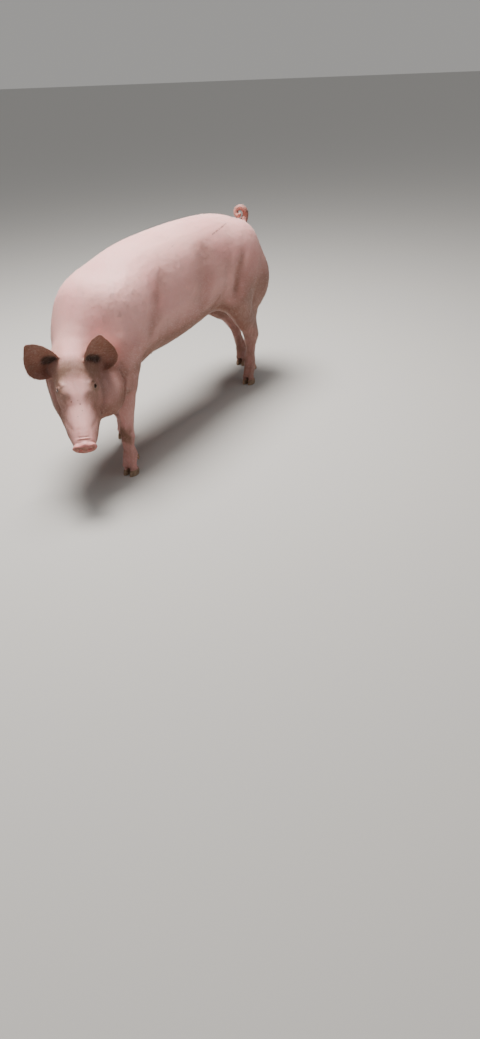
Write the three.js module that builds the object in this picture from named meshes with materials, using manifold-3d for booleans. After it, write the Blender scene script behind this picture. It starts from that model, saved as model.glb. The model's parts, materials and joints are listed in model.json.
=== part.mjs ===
// A young white domestic pig, life size, walking slowly with its head lowered and turned to its left.
// Millimetres, +Z up, the floor at z = 0. The head is towards -Y, and the pig's left side is +X.
//
// The whole pig is described once, as a smooth blend of rounded masses: a distance field that is
// negative inside the flesh. Each named part is meshed from that one field with a grid of its own,
// and flat cuts a fraction of a millimetre wide part the neighbours.
import * as THREE from "three";
import { mergeVertices } from "three/addons/utils/BufferGeometryUtils.js";
import Module from "manifold-3d";

// ---------------------------------------------------------------- driving dimensions
const GAP = 0.4; // width of every cut
const SIDES = { left: 1, right: -1 };

// The trunk has its own frame, turned a little to the right of the line the feet stand on.
const TRUNK = {
  aside: -10, // where its middle plane crosses y = 0
  turn: -1.5, // degrees
  squareness: { back: 2.3, belly: 2.05 }, // of its cross section, where 2 is an ellipse
  rearCap: 104, // how far each rounded end reaches past the last ring
  frontCap: 110,
};
// Rings of the trunk from rump to breast: y, heights of the back and the belly, half width.
const TRUNK_RINGS = [
  { y: 570, top: 700, bottom: 448, half: 120 },
  { y: 440, top: 741, bottom: 398, half: 144 },
  { y: 250, top: 758, bottom: 366, half: 154 },
  { y: 30, top: 760, bottom: 342, half: 164 },
  { y: -170, top: 745, bottom: 342, half: 168 },
  { y: -345, top: 678, bottom: 376, half: 157 },
];

// The head's frame has its origin at the poll, between the ears: left, forward, up.
const HEAD = { poll: [12, -550, 483], yaw: 40, pitch: 39.3, roll: 2 };
const EYE = { at: [54, 108, -38], radius: 12.5 };
const SNOUT = { at: [0, 314, -68], size: [43, 15, 33] };
const NOSTRIL = { at: [15, 328, -62], radius: 6 };
const JOWL_FOLD = { at: [84, 80, -118], size: [80, 100, 70] }; // the bulge inside the neck's bend

// Joints of each leg. Those under the trunk are in the trunk's frame, and the rest stand on the floor.
const LEGS = {
  front_left: { fore: true, side: 1, shoulder: [116, -384, 462], elbow: [110, -386, 358],
    knee: [104, -438, 150], fetlock: [106, -446, 72], toe: [110, -462, 34] },
  front_right: { fore: true, side: -1, shoulder: [-116, -374, 462], elbow: [-110, -332, 356],
    knee: [-96, -268, 162], fetlock: [-95, -210, 82], toe: [-94, -222, 34] },
  hind_left: { fore: false, side: 1, hip: [96, 452, 560], stifle: [118, 376, 432],
    hock: [108, 520, 214], fetlock: [110, 488, 80], toe: [112, 462, 34] },
  hind_right: { fore: false, side: -1, hip: [-96, 452, 560], stifle: [-110, 404, 432],
    hock: [-68, 652, 232], fetlock: [-40, 684, 86], toe: [-33, 666, 34] },
};
const LEG_TOP = 318; // the level cut between the legs and the body
const SHOULDER = { inner: 62, front: -458 }; // the left one belongs to the trunk from here back
const CORONET = { at: 33, slope: 18 }; // height of the top of the claws, and its fall to the heel

const CLAW = { length: 54, width: 27, cleft: 5 };
const DEWCLAW = { radius: 8, tip: 4 };
const EAR = { length: 150, thick: 6, rim: 3 };
const EAR_AIMS = {
  left: { root: [77, 18, -44], along: [0.16, -0.16, 0.97], lateral: [0.96, 0.25, -0.1] },
  right: { root: [-74, 16, -52], along: [-0.5, -0.16, 0.85], lateral: [-0.65, 0.67, -0.33] },
};
const TAIL = { base: [6, 648, 642], root: 21, radius: 14, tip: 8, curl: 21 };

const COLOURS = {
  skin: new THREE.MeshStandardMaterial({ color: "#dcb0aa", roughness: 0.62, metalness: 0 }),
  ear: new THREE.MeshStandardMaterial({ color: "#b98078", roughness: 0.6, metalness: 0 }),
  eye: new THREE.MeshStandardMaterial({ color: "#2b1d18", roughness: 0.12, metalness: 0 }),
  claw: new THREE.MeshStandardMaterial({ color: "#8b7560", roughness: 0.7, metalness: 0 }),
};

// ---------------------------------------------------------------- frames
const rad = THREE.MathUtils.degToRad;
const { lerp, clamp } = THREE.MathUtils;
const vector = (a) => new THREE.Vector3(...a);

// Takes a point of a frame to the world, and the other way round.
const placer = (matrix) => (p) => vector(p).applyMatrix4(matrix).toArray();

const trunkMatrix = new THREE.Matrix4()
  .makeTranslation(TRUNK.aside, 0, 0)
  .multiply(new THREE.Matrix4().makeRotationZ(rad(TRUNK.turn)));
const headMatrix = new THREE.Matrix4()
  .makeTranslation(...HEAD.poll)
  .multiply(new THREE.Matrix4().makeRotationZ(rad(HEAD.yaw)))
  .multiply(new THREE.Matrix4().makeRotationX(rad(HEAD.pitch)))
  .multiply(new THREE.Matrix4().makeRotationY(rad(HEAD.roll)))
  .multiply(new THREE.Matrix4().makeScale(1, -1, 1));
const onTrunk = placer(trunkMatrix);
const onHead = placer(headMatrix);

// A field described in a frame, read at world points.
function inFrame(matrix, field) {
  const e = matrix.clone().invert().elements;
  return (x, y, z) =>
    field(
      e[0] * x + e[4] * y + e[8] * z + e[12],
      e[1] * x + e[5] * y + e[9] * z + e[13],
      e[2] * x + e[6] * y + e[10] * z + e[14],
    );
}

// ---------------------------------------------------------------- distance fields
// A smooth curve through values[i] at places[i], where places rise.
function through(places, values) {
  const last = places.length - 1;
  const slopes = values.map((_, j) => {
    const [a, b] = [Math.max(j - 1, 0), Math.min(j + 1, last)];
    return (values[b] - values[a]) / (places[b] - places[a]);
  });
  return (at) => {
    let i = 0;
    while (i < last - 1 && at > places[i + 1]) i++;
    const span = places[i + 1] - places[i];
    const t = clamp((at - places[i]) / span, 0, 1);
    const bend = 3 * t * t - 2 * t * t * t;
    const ease = (1 - t) * (1 - t) * t * span * slopes[i] - (1 - t) * t * t * span * slopes[i + 1];
    return lerp(values[i], values[i + 1], bend) + ease;
  };
}

// An egg of three radii, tilted about X.
function ball([cx, cy, cz], [rx, ry, rz], tilt = 0) {
  const [c, s] = [Math.cos(rad(tilt)), Math.sin(rad(tilt))];
  return (x, y, z) => {
    const dx = (x - cx) / rx;
    const dy = ((y - cy) * c + (z - cz) * s) / ry;
    const dz = ((z - cz) * c - (y - cy) * s) / rz;
    const out = Math.hypot(dx, dy, dz);
    const steep = Math.hypot(dx / rx, dy / ry, dz / rz);
    return steep < 1e-9 ? -Math.min(rx, ry, rz) : (out * (out - 1)) / steep;
  };
}

// A tapered round-ended bar from a to b, with its width across X scaled by flat.
function limb(a, b, ra, rb, flat = 1) {
  const [ax, ay, az] = [a[0] / flat, a[1], a[2]];
  const [dx, dy, dz] = [b[0] / flat - ax, b[1] - ay, b[2] - az];
  const squared = dx * dx + dy * dy + dz * dz;
  return (x, y, z) => {
    const [px, py, pz] = [x / flat - ax, y - ay, z - az];
    const t = clamp((px * dx + py * dy + pz * dz) / squared, 0, 1);
    return (Math.hypot(px - t * dx, py - t * dy, pz - t * dz) - lerp(ra, rb, t)) * Math.min(flat, 1);
  };
}

// Two surfaces meet in a fillet about k wide.
function soften(a, b, k) {
  const h = Math.max(k - Math.abs(a - b), 0) / k;
  return Math.min(a, b) - (h * h * k) / 4;
}
function blend(k, fields) {
  return (x, y, z) => fields.reduce((found, field) => soften(found, field(x, y, z), k), 1e4);
}

// ---------------------------------------------------------------- trunk and neck
// A rounded ring at every y, closed by rounded ends.
function barrel() {
  const rings = [...TRUNK_RINGS].reverse();
  const places = rings.map((ring) => ring.y);
  const [top, bottom, half] = ["top", "bottom", "half"].map((key) => {
    return through(places, rings.map((ring) => ring[key]));
  });
  const [front, rear] = [places[0], places[places.length - 1]];
  return (x, y, z) => {
    const at = clamp(y, front, rear);
    const past = (y - at) / (y > at ? TRUNK.rearCap : TRUNK.frontCap);
    const high = (top(at) - bottom(at)) / 2;
    const wide = half(at);
    const up = (z - bottom(at) - high) / high;
    const n = up > 0 ? TRUNK.squareness.back : TRUNK.squareness.belly;
    const ring = (Math.abs(x / wide) ** n + Math.abs(up) ** n) ** (1 / n);
    return (Math.hypot(ring, past) - 1) * Math.min(wide, high);
  };
}

const trunkField = inFrame(trunkMatrix, barrel());
const neckField = blend(70, [
  limb(onTrunk([-8, -236, 568]), onHead([0, 4, -74]), 122, 72), // crest
  limb(onTrunk([-36, -332, 486]), onHead([-8, 10, -118]), 156, 78), // throat
]);

// ---------------------------------------------------------------- head
function faceField() {
  const masses = [
    ball([0, 36, -70], [72, 80, 66]), // cranium
    ball([0, 98, -66], [62, 74, 52], 8), // forehead
    limb([0, 150, -74], [0, 290, -74], 47, 36, 1.06), // muzzle
    limb([0, 60, -146], [0, 255, -110], 44, 22, 1.25), // floor of the jaw
    ball([0, 0, -124], [88, 88, 78]), // throat
  ];
  for (const side of Object.values(SIDES)) {
    masses.push(
      ball([42 * side, 110, -42], [20, 32, 22]), // brow
      ball([58 * side, 88, -86], [26, 60, 32]), // cheek bone
      ball([52 * side, 76, -118], [42, 92, 56]), // jowl
      ball([36 * side, 168, -112], [30, 60, 34]), // corner of the jaw
      ball([30 * side, 222, -94], [22, 62, 24]), // upper lip
      ball([68 * side, -2, -72], [28, 28, 28]), // root of the ear
    );
  }
  const flesh = blend(24, masses);
  const disc = ball(SNOUT.at, SNOUT.size, -6);
  const fold = ball(JOWL_FOLD.at, JOWL_FOLD.size);
  return (l, f, u) => soften(soften(flesh(l, f, u), disc(l, f, u), 10), fold(l, f, u), 26);
}
const headField = inFrame(headMatrix, faceField());

// ---------------------------------------------------------------- legs
function legField(leg) {
  const { side, fetlock, toe } = leg;
  const foot = [
    limb([fetlock[0], fetlock[1], fetlock[2] - 6], toe, 23, 24, 1.12),
    ball([fetlock[0], fetlock[1] + 8, fetlock[2]], [24, 24, 24]),
  ];
  if (leg.fore) {
    const { shoulder, elbow, knee } = leg;
    const blade = onTrunk([shoulder[0] * 0.8, shoulder[1] + 84, shoulder[2] + 62]);
    return {
      upper: blend(30, [
        ball(blade, [58, 104, 146], 14),
        limb(onTrunk(shoulder), onTrunk(elbow), 74, 56, 0.8),
      ]),
      lower: blend(18, [
        limb(onTrunk(elbow), knee, 54, 23, 0.8),
        ball(knee, [24, 25, 34]),
        limb(knee, fetlock, 21, 21, 0.95),
        ...foot,
      ]),
    };
  }
  const { hip, stifle, hock } = leg;
  const heel = [hock[0], hock[1] + 22, hock[2] + 18];
  const ham = onTrunk([hip[0], hip[1] + 6, hip[2] - 24]);
  const seat = onTrunk([hip[0] - 2 * side, hip[1] + 122, hip[2] - 110]);
  return {
    upper: blend(34, [
      ball(ham, [80, 132, 160], -12),
      ball(seat, [72, 98, 124], -14),
      limb(onTrunk(stifle), hock, 84, 30, 0.72),
      limb([seat[0], seat[1] - 30, seat[2] - 60], heel, 56, 15, 0.62),
    ]),
    lower: blend(18, [ball(hock, [26, 34, 38]), limb(hock, fetlock, 26, 23, 0.92), ...foot]),
  };
}

// ---------------------------------------------------------------- the whole body
const legFields = Object.fromEntries(Object.entries(LEGS).map(([name, leg]) => [name, legField(leg)]));
const fore = { left: legFields.front_left.upper, right: legFields.front_right.upper };
const tailEnd = [TAIL.base[0], TAIL.base[1] + 26, TAIL.base[2] + 34];
const tailStub = limb(onTrunk(TAIL.base), onTrunk(tailEnd), 34, TAIL.root);
const torso = blend(80, [trunkField, neckField]);
const forequarters = (x, y, z) => {
  const found = soften(torso(x, y, z), headField(x, y, z), 40);
  return soften(soften(found, fore.left(x, y, z), 54), fore.right(x, y, z), 54);
};
const withLegs = (field) => (x, y, z) => {
  const start = soften(field(x, y, z), tailStub(x, y, z), 24);
  return Object.values(legFields).reduce((so, leg) => {
    return soften(soften(so, leg.upper(x, y, z), 54), leg.lower(x, y, z), 26);
  }, start);
};
const body = withLegs((x, y, z) => soften(torso(x, y, z), headField(x, y, z), 40));
const underBody = withLegs(torso);

// ---------------------------------------------------------------- meshing
// Surface nets: one vertex in each grid cell that the surface crosses, then pulled onto the surface.
function mesh(field, frame, low, high, cells) {
  const along = [0, 1, 2].map((m) => Math.ceil((high[m] - low[m]) / cells[m]) + 4);
  const at = (i, j, k) => i + along[0] * (j + along[1] * k);
  const place = (...node) => node.map((step, m) => low[m] + (step - 1) * cells[m]);
  const e = frame.elements;
  const local = ([x, y, z]) => {
    const sides = Math.max(low[0] - x, x - high[0], low[1] - y, y - high[1], low[2] - z, z - high[2]);
    const found = field(
      e[0] * x + e[4] * y + e[8] * z + e[12],
      e[1] * x + e[5] * y + e[9] * z + e[13],
      e[2] * x + e[6] * y + e[10] * z + e[14],
    );
    return Math.max(found, sides + 0.3 * Math.min(...cells));
  };
  const value = new Float64Array(along[0] * along[1] * along[2]);
  const each = (from, visit) => {
    for (let k = from; k < along[2] - 1; k++)
      for (let j = from; j < along[1] - 1; j++)
        for (let i = from; i < along[0] - 1; i++) visit(i, j, k);
  };
  for (let k = 0; k < along[2]; k++)
    for (let j = 0; j < along[1]; j++)
      for (let i = 0; i < along[0]; i++) value[at(i, j, k)] = local(place(i, j, k));

  const points = [];
  const pointOf = new Map();
  const corner = (c) => [c & 1, (c >> 1) & 1, (c >> 2) & 1];
  each(0, (i, j, k) => {
    const sum = [0, 0, 0];
    let crossings = 0;
    for (let c = 0; c < 8; c++)
      for (const bit of [1, 2, 4]) {
        if (c & bit) continue;
        const [p, q] = [corner(c), corner(c | bit)];
        const va = value[at(i + p[0], j + p[1], k + p[2])];
        const vb = value[at(i + q[0], j + q[1], k + q[2])];
        if (va < 0 === vb < 0) continue;
        for (let m = 0; m < 3; m++) sum[m] += lerp(p[m], q[m], va / (va - vb));
        crossings++;
      }
    if (!crossings) return;
    pointOf.set(at(i, j, k), points.length);
    points.push(place(i + sum[0] / crossings, j + sum[1] / crossings, k + sum[2] / crossings));
  });

  const reach = Math.min(...cells) / 6;
  for (let pass = 0; pass < 3; pass++)
    for (const p of points) {
      const found = local(p);
      const slope = [0, 1, 2].map((m) => {
        const q = [...p];
        q[m] += 0.5;
        return (local(q) - found) / 0.5;
      });
      const steep = Math.max(slope[0] ** 2 + slope[1] ** 2 + slope[2] ** 2, 0.2);
      const move = clamp(found / steep, -reach, reach);
      for (let m = 0; m < 3; m++) p[m] -= move * slope[m];
    }

  const triangles = [];
  const strides = [at(1, 0, 0), at(0, 1, 0), at(0, 0, 1)];
  each(1, (i, j, k) => {
    const here = at(i, j, k);
    for (let m = 0; m < 3; m++) {
      const inside = value[here] < 0;
      if (inside === value[here + strides[m]] < 0) continue;
      const [u, v] = [strides[(m + 1) % 3], strides[(m + 2) % 3]];
      const ring = [here - u - v, here - v, here, here - u].map((c) => pointOf.get(c));
      const [a, b, c, d] = inside ? ring : ring.reverse();
      triangles.push(a, b, c, a, c, d);
    }
  });
  const geometry = new THREE.BufferGeometry();
  geometry.setAttribute("position", new THREE.Float32BufferAttribute(points.flat(), 3));
  geometry.setIndex(triangles);
  geometry.applyMatrix4(frame);
  return geometry;
}

// A closed skin over rings of points, each with the same count. Both ends are capped.
function loft(rings) {
  const count = rings[0].length;
  const points = rings.flat();
  const triangles = [];
  for (let r = 0; r + 1 < rings.length; r++)
    for (let i = 0; i < count; i++) {
      const [a, b] = [r * count + i, r * count + ((i + 1) % count)];
      triangles.push(a, b, b + count, a, b + count, a + count);
    }
  for (const r of [0, rings.length - 1]) {
    const centre = points.length;
    const sum = rings[r].reduce((total, p) => total.add(p), new THREE.Vector3());
    points.push(sum.divideScalar(count));
    for (let i = 0; i < count; i++) {
      const [a, b] = [r * count + i, r * count + ((i + 1) % count)];
      triangles.push(centre, r ? a : b, r ? b : a);
    }
  }
  const geometry = new THREE.BufferGeometry();
  const flat = points.flatMap((p) => p.toArray());
  geometry.setAttribute("position", new THREE.Float32BufferAttribute(flat, 3));
  geometry.setIndex(triangles);
  return geometry;
}

// ---------------------------------------------------------------- joining and cutting
const wasm = await Module();
wasm.setup();

// A closed body for the cutter. A geometry that came out inside out is turned round.
function solid(geometry) {
  const bare = new THREE.BufferGeometry();
  bare.setAttribute("position", geometry.getAttribute("position"));
  bare.setIndex(geometry.index);
  const merged = mergeVertices(bare, 1e-3);
  const build = (triVerts) => {
    const vertProperties = merged.attributes.position.array;
    return new wasm.Manifold(new wasm.Mesh({ numProp: 3, vertProperties, triVerts }));
  };
  const faces = Uint32Array.from(merged.index.array);
  const made = build(faces);
  return made.volume() > 0 ? made : build(faces.reverse());
}

// Whether any edge is shared by more than two faces.
function pinched({ index }) {
  const uses = new Map();
  for (let i = 0; i < index.count; i++) {
    const [a, b] = [index.getX(i), index.getX(i % 3 === 2 ? i - 2 : i + 1)];
    const edge = `${Math.min(a, b)} ${Math.max(a, b)}`;
    uses.set(edge, (uses.get(edge) ?? 0) + 1);
  }
  return [...uses.values()].some((count) => count > 2);
}

// Flesh from a field. A grid that happens to pinch the surface is tried again a little finer.
function flesh(field, frame, low, high, cells) {
  for (let finer = 1; finer > 0.7; finer -= 0.03) {
    const made = mesh(field, frame, low, high, cells.map((cell) => cell * finer));
    if (!pinched(made)) return solid(made);
  }
  throw new Error("no grid gave a clean surface");
}

function geometryOf(shape) {
  const { vertProperties, triVerts, numProp, numVert } = shape.getMesh();
  const points = new Float32Array(numVert * 3);
  for (let i = 0; i < numVert; i++) {
    points.set(vertProperties.subarray(i * numProp, i * numProp + 3), i * 3);
  }
  const geometry = new THREE.BufferGeometry();
  geometry.setAttribute("position", new THREE.BufferAttribute(points, 3));
  geometry.setIndex(new THREE.BufferAttribute(triVerts, 1));
  const flat = geometry.toNonIndexed();
  flat.computeVertexNormals();
  return flat;
}

// Everything on the side of a plane that its normal points to, a little way clear of it.
function beyond(point, normal, clear = GAP / 2, size = 1800) {
  const block = new THREE.BoxGeometry(size, size, size);
  const turn = new THREE.Quaternion().setFromUnitVectors(new THREE.Vector3(0, 0, 1), normal);
  const centre = point.clone().addScaledVector(normal, size / 2 + clear);
  block.applyMatrix4(new THREE.Matrix4().compose(centre, turn, new THREE.Vector3(1, 1, 1)));
  return solid(block);
}
const cutAt = (place, point, direction) => {
  const from = vector(place(point));
  const normal = vector(place(point.map((v, i) => v + direction[i]))).sub(from).normalize();
  return { ahead: beyond(from, normal), behind: beyond(from, normal.clone().negate()) };
};

// ---------------------------------------------------------------- ears, tail and claws
// An ear is a leaf-shaped sheet, rolled into a funnel at its root and opening towards its tip.
function earRings(aim) {
  const along = vector(aim.along).normalize();
  const wide = vector(aim.lateral);
  wide.addScaledVector(along, -wide.dot(along)).normalize();
  const front = new THREE.Vector3().crossVectors(wide, along);
  if (front.y < 0) front.negate();
  const steps = { long: 8, wide: 8 };
  const halfArc = through([0, 0.2, 0.5, 0.8, 1], [54, 62, 62, 40, 5]);
  const roll = through([0, 0.3, 0.65, 1], [132, 62, 42, 26]);
  const rings = [];
  for (let j = 0; j <= steps.long; j++) {
    const v = j / steps.long;
    const angle = rad(roll(v));
    const radius = halfArc(v) / angle;
    const spot = (u, side) => {
      const full = 1 + 0.24 * u * Math.sin(Math.PI * v);
      const thick = lerp(EAR.rim, EAR.thick, (1 - u * u) * (1 - v));
      const r = radius * full + (side * thick) / 2;
      return vector(aim.root)
        .addScaledVector(along, EAR.length * v - 10)
        .addScaledVector(wide, r * Math.sin(u * angle))
        .addScaledVector(front, radius - r * Math.cos(u * angle) - 22 * Math.exp(-6 * v));
    };
    const across = Array.from({ length: steps.wide + 1 }, (_, i) => -1 + (2 * i) / steps.wide);
    rings.push([...across.map((u) => spot(u, -1)), ...across.reverse().map((u) => spot(u, 1))]);
  }
  return rings.map((ring) => ring.map((p) => vector(onHead(p.toArray()))));
}

function tube(points, radiusAt, steps, sides) {
  const curve = new THREE.CatmullRomCurve3(points, false, "centripetal");
  const frames = curve.computeFrenetFrames(steps, false);
  return loft(
    Array.from({ length: steps + 1 }, (_, i) => {
      const centre = curve.getPointAt(i / steps);
      return Array.from({ length: sides }, (_, k) => {
        const angle = (2 * Math.PI * k) / sides;
        return centre
          .clone()
          .addScaledVector(frames.normals[i], radiusAt(i / steps) * Math.cos(angle))
          .addScaledVector(frames.binormals[i], radiusAt(i / steps) * Math.sin(angle));
      });
    }),
  );
}

// The tail rises from the rump and curls once over to its right.
function tailGeometry() {
  const [x, y, z] = TAIL.base;
  const points = [[x, y + 16, z + 20], [x + 4, y + 34, z + 44]];
  const turns = 12;
  for (let i = 0; i <= turns; i++) {
    const t = i / turns;
    const angle = lerp(-0.1, 1.72 * Math.PI, t);
    const r = lerp(TAIL.curl, TAIL.curl * 0.6, t);
    points.push([x - 14 + r * Math.cos(angle), y + 30 - 34 * t, z + 62 + r * Math.sin(angle)]);
  }
  const placed = points.map((p) => vector(onTrunk(p)));
  const thin = through([0, 0.2, 0.6, 1], [TAIL.root - 3, TAIL.radius + 1, TAIL.radius - 1, TAIL.tip]);
  return tube(placed, thin, 17, 7);
}

// One of a foot's two claws: a flat sole, a pointed toe, and a wall that leans back as it rises.
function clawGeometry(leg, aside) {
  const { length, width, cleft } = CLAW;
  const rings = [0, 0.12, 1].map((level) => {
    const grow = level ? lerp(1, 0.84, level) : 0.95;
    return Array.from({ length: 10 }, (_, k) => {
      const angle = (2 * Math.PI * (k + 0.5)) / 10;
      const [out, back] = [Math.cos(angle), Math.sin(angle)];
      const toe = back < 0 ? 1 - 0.4 * back * back : 1;
      const across = out > 0 ? (width * 0.62 * out * toe) : width * 0.38 * out;
      const x = leg.toe[0] + aside * (cleft / 2 + width * 0.38 + across * grow);
      const y = leg.toe[1] + 4 + 12 * level + (back * length * grow * lerp(1, 0.86, level)) / 2;
      return new THREE.Vector3(x, y, level * 56);
    });
  });
  return loft(rings);
}

// The two small claws behind the pastern point down and back.
function dewclawGeometry(leg, aside, grow) {
  const [x, y, z] = leg.fetlock;
  const points = [[12, 13, 4], [15, 22, -8], [16, 28, -22], [16, 29, -29]].map(([out, back, rise]) => {
    return new THREE.Vector3(x + out * aside, y + back, z + rise);
  });
  return tube(points, through([0, 0.5, 0.9, 1], [8, 8, 5, 2].map((r) => r + grow)), 4, 6);
}

// The biggest piece, where a cut has also left a crumb.
function largest(shape) {
  return shape.decompose().reduce((best, piece) => (piece.volume() > best.volume() ? piece : best));
}

// ---------------------------------------------------------------- the parts
const parts = new THREE.Group();
function add(name, shape, material) {
  const part = new THREE.Mesh(geometryOf(shape.simplify(GAP / 3)), material);
  part.name = name;
  parts.add(part);
}
const WORLD = new THREE.Matrix4();
const up = new THREE.Vector3(0, 0, 1);
const above = beyond(new THREE.Vector3(0, 0, LEG_TOP), up);
const below = beyond(new THREE.Vector3(0, 0, LEG_TOP), up.clone().negate());
const neckCut = cutAt(onTrunk, [0, -325, 550], [0, -0.915, 0.404]);
const headCut = cutAt(onHead, [0, -46, -60], [-0.34, 0.94, 0.1]);

// The left shoulder, which passes behind the jowl, with its near faces moved out by grow.
function shoulder(grow) {
  const size = 900;
  const [x, y] = [SHOULDER.inner - grow + size / 2, SHOULDER.front - grow + size / 2];
  return solid(new THREE.BoxGeometry(size, size, size).translate(x, y, size / 2));
}
const behindHead = headCut.behind.add(shoulder(-GAP / 2));

const trunk = flesh(body, trunkMatrix, [-215, -470, 270], [215, 780, 790], [36, 48, 36])
  .intersect(neckCut.behind)
  .intersect(behindHead)
  .intersect(above);
const neck = flesh(body, trunkMatrix, [-230, -660, 270], [250, -200, 760], [34, 34, 34])
  .intersect(neckCut.ahead)
  .intersect(behindHead)
  .intersect(above);
const skull = flesh(forequarters, headMatrix, [-160, -130, -260], [220, 350, 100], [18, 21, 17])
  .intersect(headCut.ahead)
  .subtract(shoulder(GAP / 2));
let head = skull;

for (const [name, side] of Object.entries(SIDES)) {
  const centre = vector(onHead([EYE.at[0] * side, EYE.at[1], EYE.at[2]]));
  const eyeball = (radius) => new THREE.IcosahedronGeometry(radius, 1).translate(...centre.toArray());
  head = head.subtract(solid(eyeball(EYE.radius + GAP)));
  add("eye_" + name, solid(eyeball(EYE.radius)), COLOURS.eye);

  const nostril = [[0, 6], [0, -6], [-1.5, -18]].map(([aside, deep]) => {
    return vector(onHead([(NOSTRIL.at[0] + aside) * side, NOSTRIL.at[1] + deep, NOSTRIL.at[2]]));
  });
  head = head.subtract(solid(tube(nostril, (t) => NOSTRIL.radius * (1 - 0.5 * t), 3, 8)));

  const aim = EAR_AIMS[name];
  const lift = vector(onHead(aim.along)).sub(vector(onHead([0, 0, 0]))).setLength(GAP);
  const ear = solid(loft(earRings(aim))).subtract(skull).subtract(skull.translate(...lift.toArray()));
  add("ear_" + name, largest(ear), COLOURS.ear);
}
add("head", head, COLOURS.skin);
add("neck", neck, COLOURS.skin);
add("trunk", trunk, COLOURS.skin);
const tail = solid(tailGeometry()).subtract(trunk).subtract(trunk.translate(0, GAP, GAP));
add("tail", largest(tail), COLOURS.skin);

for (const [name, leg] of Object.entries(LEGS)) {
  const joints = [leg.toe, leg.fore ? leg.knee : leg.hock, onTrunk(leg.fore ? leg.elbow : leg.stifle)];
  const low = [0, 1].map((m) => Math.min(...joints.map((p) => p[m])) - (m ? 90 : 80));
  const high = [0, 1].map((m) => Math.max(...joints.map((p) => p[m])) + (m ? 150 : 80));
  const shape = flesh(underBody, WORLD, [...low, 0], [...high, LEG_TOP + 70], [19, 21, 38]);
  const coronet = cutAt((p) => p, [leg.toe[0], leg.toe[1], CORONET.at], [0, Math.tan(rad(CORONET.slope)), 1]);
  let shank = shape.intersect(below).intersect(coronet.ahead).subtract(skull);
  shank = shank.subtract(skull.translate(0, GAP, -GAP));
  for (const [place, aside] of Object.entries({ outer: leg.side, inner: -leg.side })) {
    const dewclaw = (grow) => solid(dewclawGeometry(leg, aside, grow));
    shank = shank.subtract(dewclaw(GAP));
    const claw = solid(clawGeometry(leg, aside)).intersect(coronet.behind);
    add(`claw_${name}_${place}`, claw, COLOURS.claw);
    add(`dewclaw_${name}_${place}`, dewclaw(0), COLOURS.claw);
  }
  add("leg_" + name, largest(shank), COLOURS.skin);
}

// The origin goes under the middle of the whole pig, on the floor.
const whole = new THREE.Box3().setFromObject(parts);
const middle = whole.getCenter(new THREE.Vector3());
for (const part of parts.children) part.geometry.translate(-middle.x, -middle.y, 0);

export default parts;
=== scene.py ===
import json
import math
import bpy
import numpy as np
from mathutils import Matrix, Vector
from mathutils.bvhtree import BVHTree

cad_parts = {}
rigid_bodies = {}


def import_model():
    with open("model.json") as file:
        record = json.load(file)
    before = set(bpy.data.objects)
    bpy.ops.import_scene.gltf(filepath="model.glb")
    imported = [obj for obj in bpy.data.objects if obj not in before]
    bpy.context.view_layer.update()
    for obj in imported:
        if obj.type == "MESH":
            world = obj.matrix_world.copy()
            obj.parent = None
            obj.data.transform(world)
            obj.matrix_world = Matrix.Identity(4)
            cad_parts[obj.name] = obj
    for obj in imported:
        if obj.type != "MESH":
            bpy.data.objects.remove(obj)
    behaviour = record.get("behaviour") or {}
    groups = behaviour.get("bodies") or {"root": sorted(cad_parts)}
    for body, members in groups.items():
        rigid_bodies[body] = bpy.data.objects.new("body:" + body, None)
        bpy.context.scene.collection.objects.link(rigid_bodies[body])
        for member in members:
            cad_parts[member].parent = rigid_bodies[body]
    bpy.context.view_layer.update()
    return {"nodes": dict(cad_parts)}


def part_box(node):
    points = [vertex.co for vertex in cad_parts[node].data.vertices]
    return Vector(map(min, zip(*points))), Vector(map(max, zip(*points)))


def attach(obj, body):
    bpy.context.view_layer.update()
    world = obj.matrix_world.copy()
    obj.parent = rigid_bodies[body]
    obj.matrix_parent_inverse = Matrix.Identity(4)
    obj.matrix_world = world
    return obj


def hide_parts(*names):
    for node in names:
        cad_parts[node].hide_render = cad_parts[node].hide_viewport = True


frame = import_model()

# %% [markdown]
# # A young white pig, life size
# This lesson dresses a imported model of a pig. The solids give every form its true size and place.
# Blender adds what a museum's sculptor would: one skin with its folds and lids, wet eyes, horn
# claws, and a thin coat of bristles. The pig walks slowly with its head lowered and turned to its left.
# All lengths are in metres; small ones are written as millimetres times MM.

MM = 0.001
SIDES = {"left": 1, "right": -1}
FEET = ("front_left", "front_right", "hind_left", "hind_right")


# %% [markdown]
# ## The camera
# The camera stands a person's chest above the floor, in front of the pig and a little to its left,
# and looks down at it. It is placed from the left forefoot, the nearest one. Its turn is built from
# three plain rotations: round the upright, down from level, and a slight roll.

# %% Camera
CAMERA = {"from_foot": (1.559, -1.8374, 1.32), "lens": 25.39, "sensor": 36}
CAMERA_TURN = {"azimuth": 30.6, "down": 32.95, "roll": -3.58}


def middle(*nodes):
    corners = [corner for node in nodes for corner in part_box(node)]
    low, high = [Vector([pick(c[i] for c in corners) for i in range(3)]) for pick in (min, max)]
    return low, high, (low + high) / 2


def aim(azimuth, down, roll):
    turns = [(azimuth, "Z"), (90 - down, "X"), (roll, "Z")]
    turned = Matrix.Identity(4)
    for angle, axis in turns:
        turned = turned @ Matrix.Rotation(math.radians(angle), 4, axis)
    return turned


toe_low, _, toe_mid = middle("claw_front_left_outer", "claw_front_left_inner")
near_foot = Vector((toe_mid.x, toe_low.y, 0))
bpy.ops.object.camera_add()
camera = bpy.context.object
place = Matrix.Translation(near_foot + Vector(CAMERA["from_foot"]))
camera.matrix_world = place @ aim(**CAMERA_TURN)
camera.data.sensor_width = CAMERA["sensor"]
camera.data.lens = CAMERA["lens"]
bpy.context.scene.camera = camera
print("camera", [round(v, 3) for v in camera.matrix_world.translation])

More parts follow.
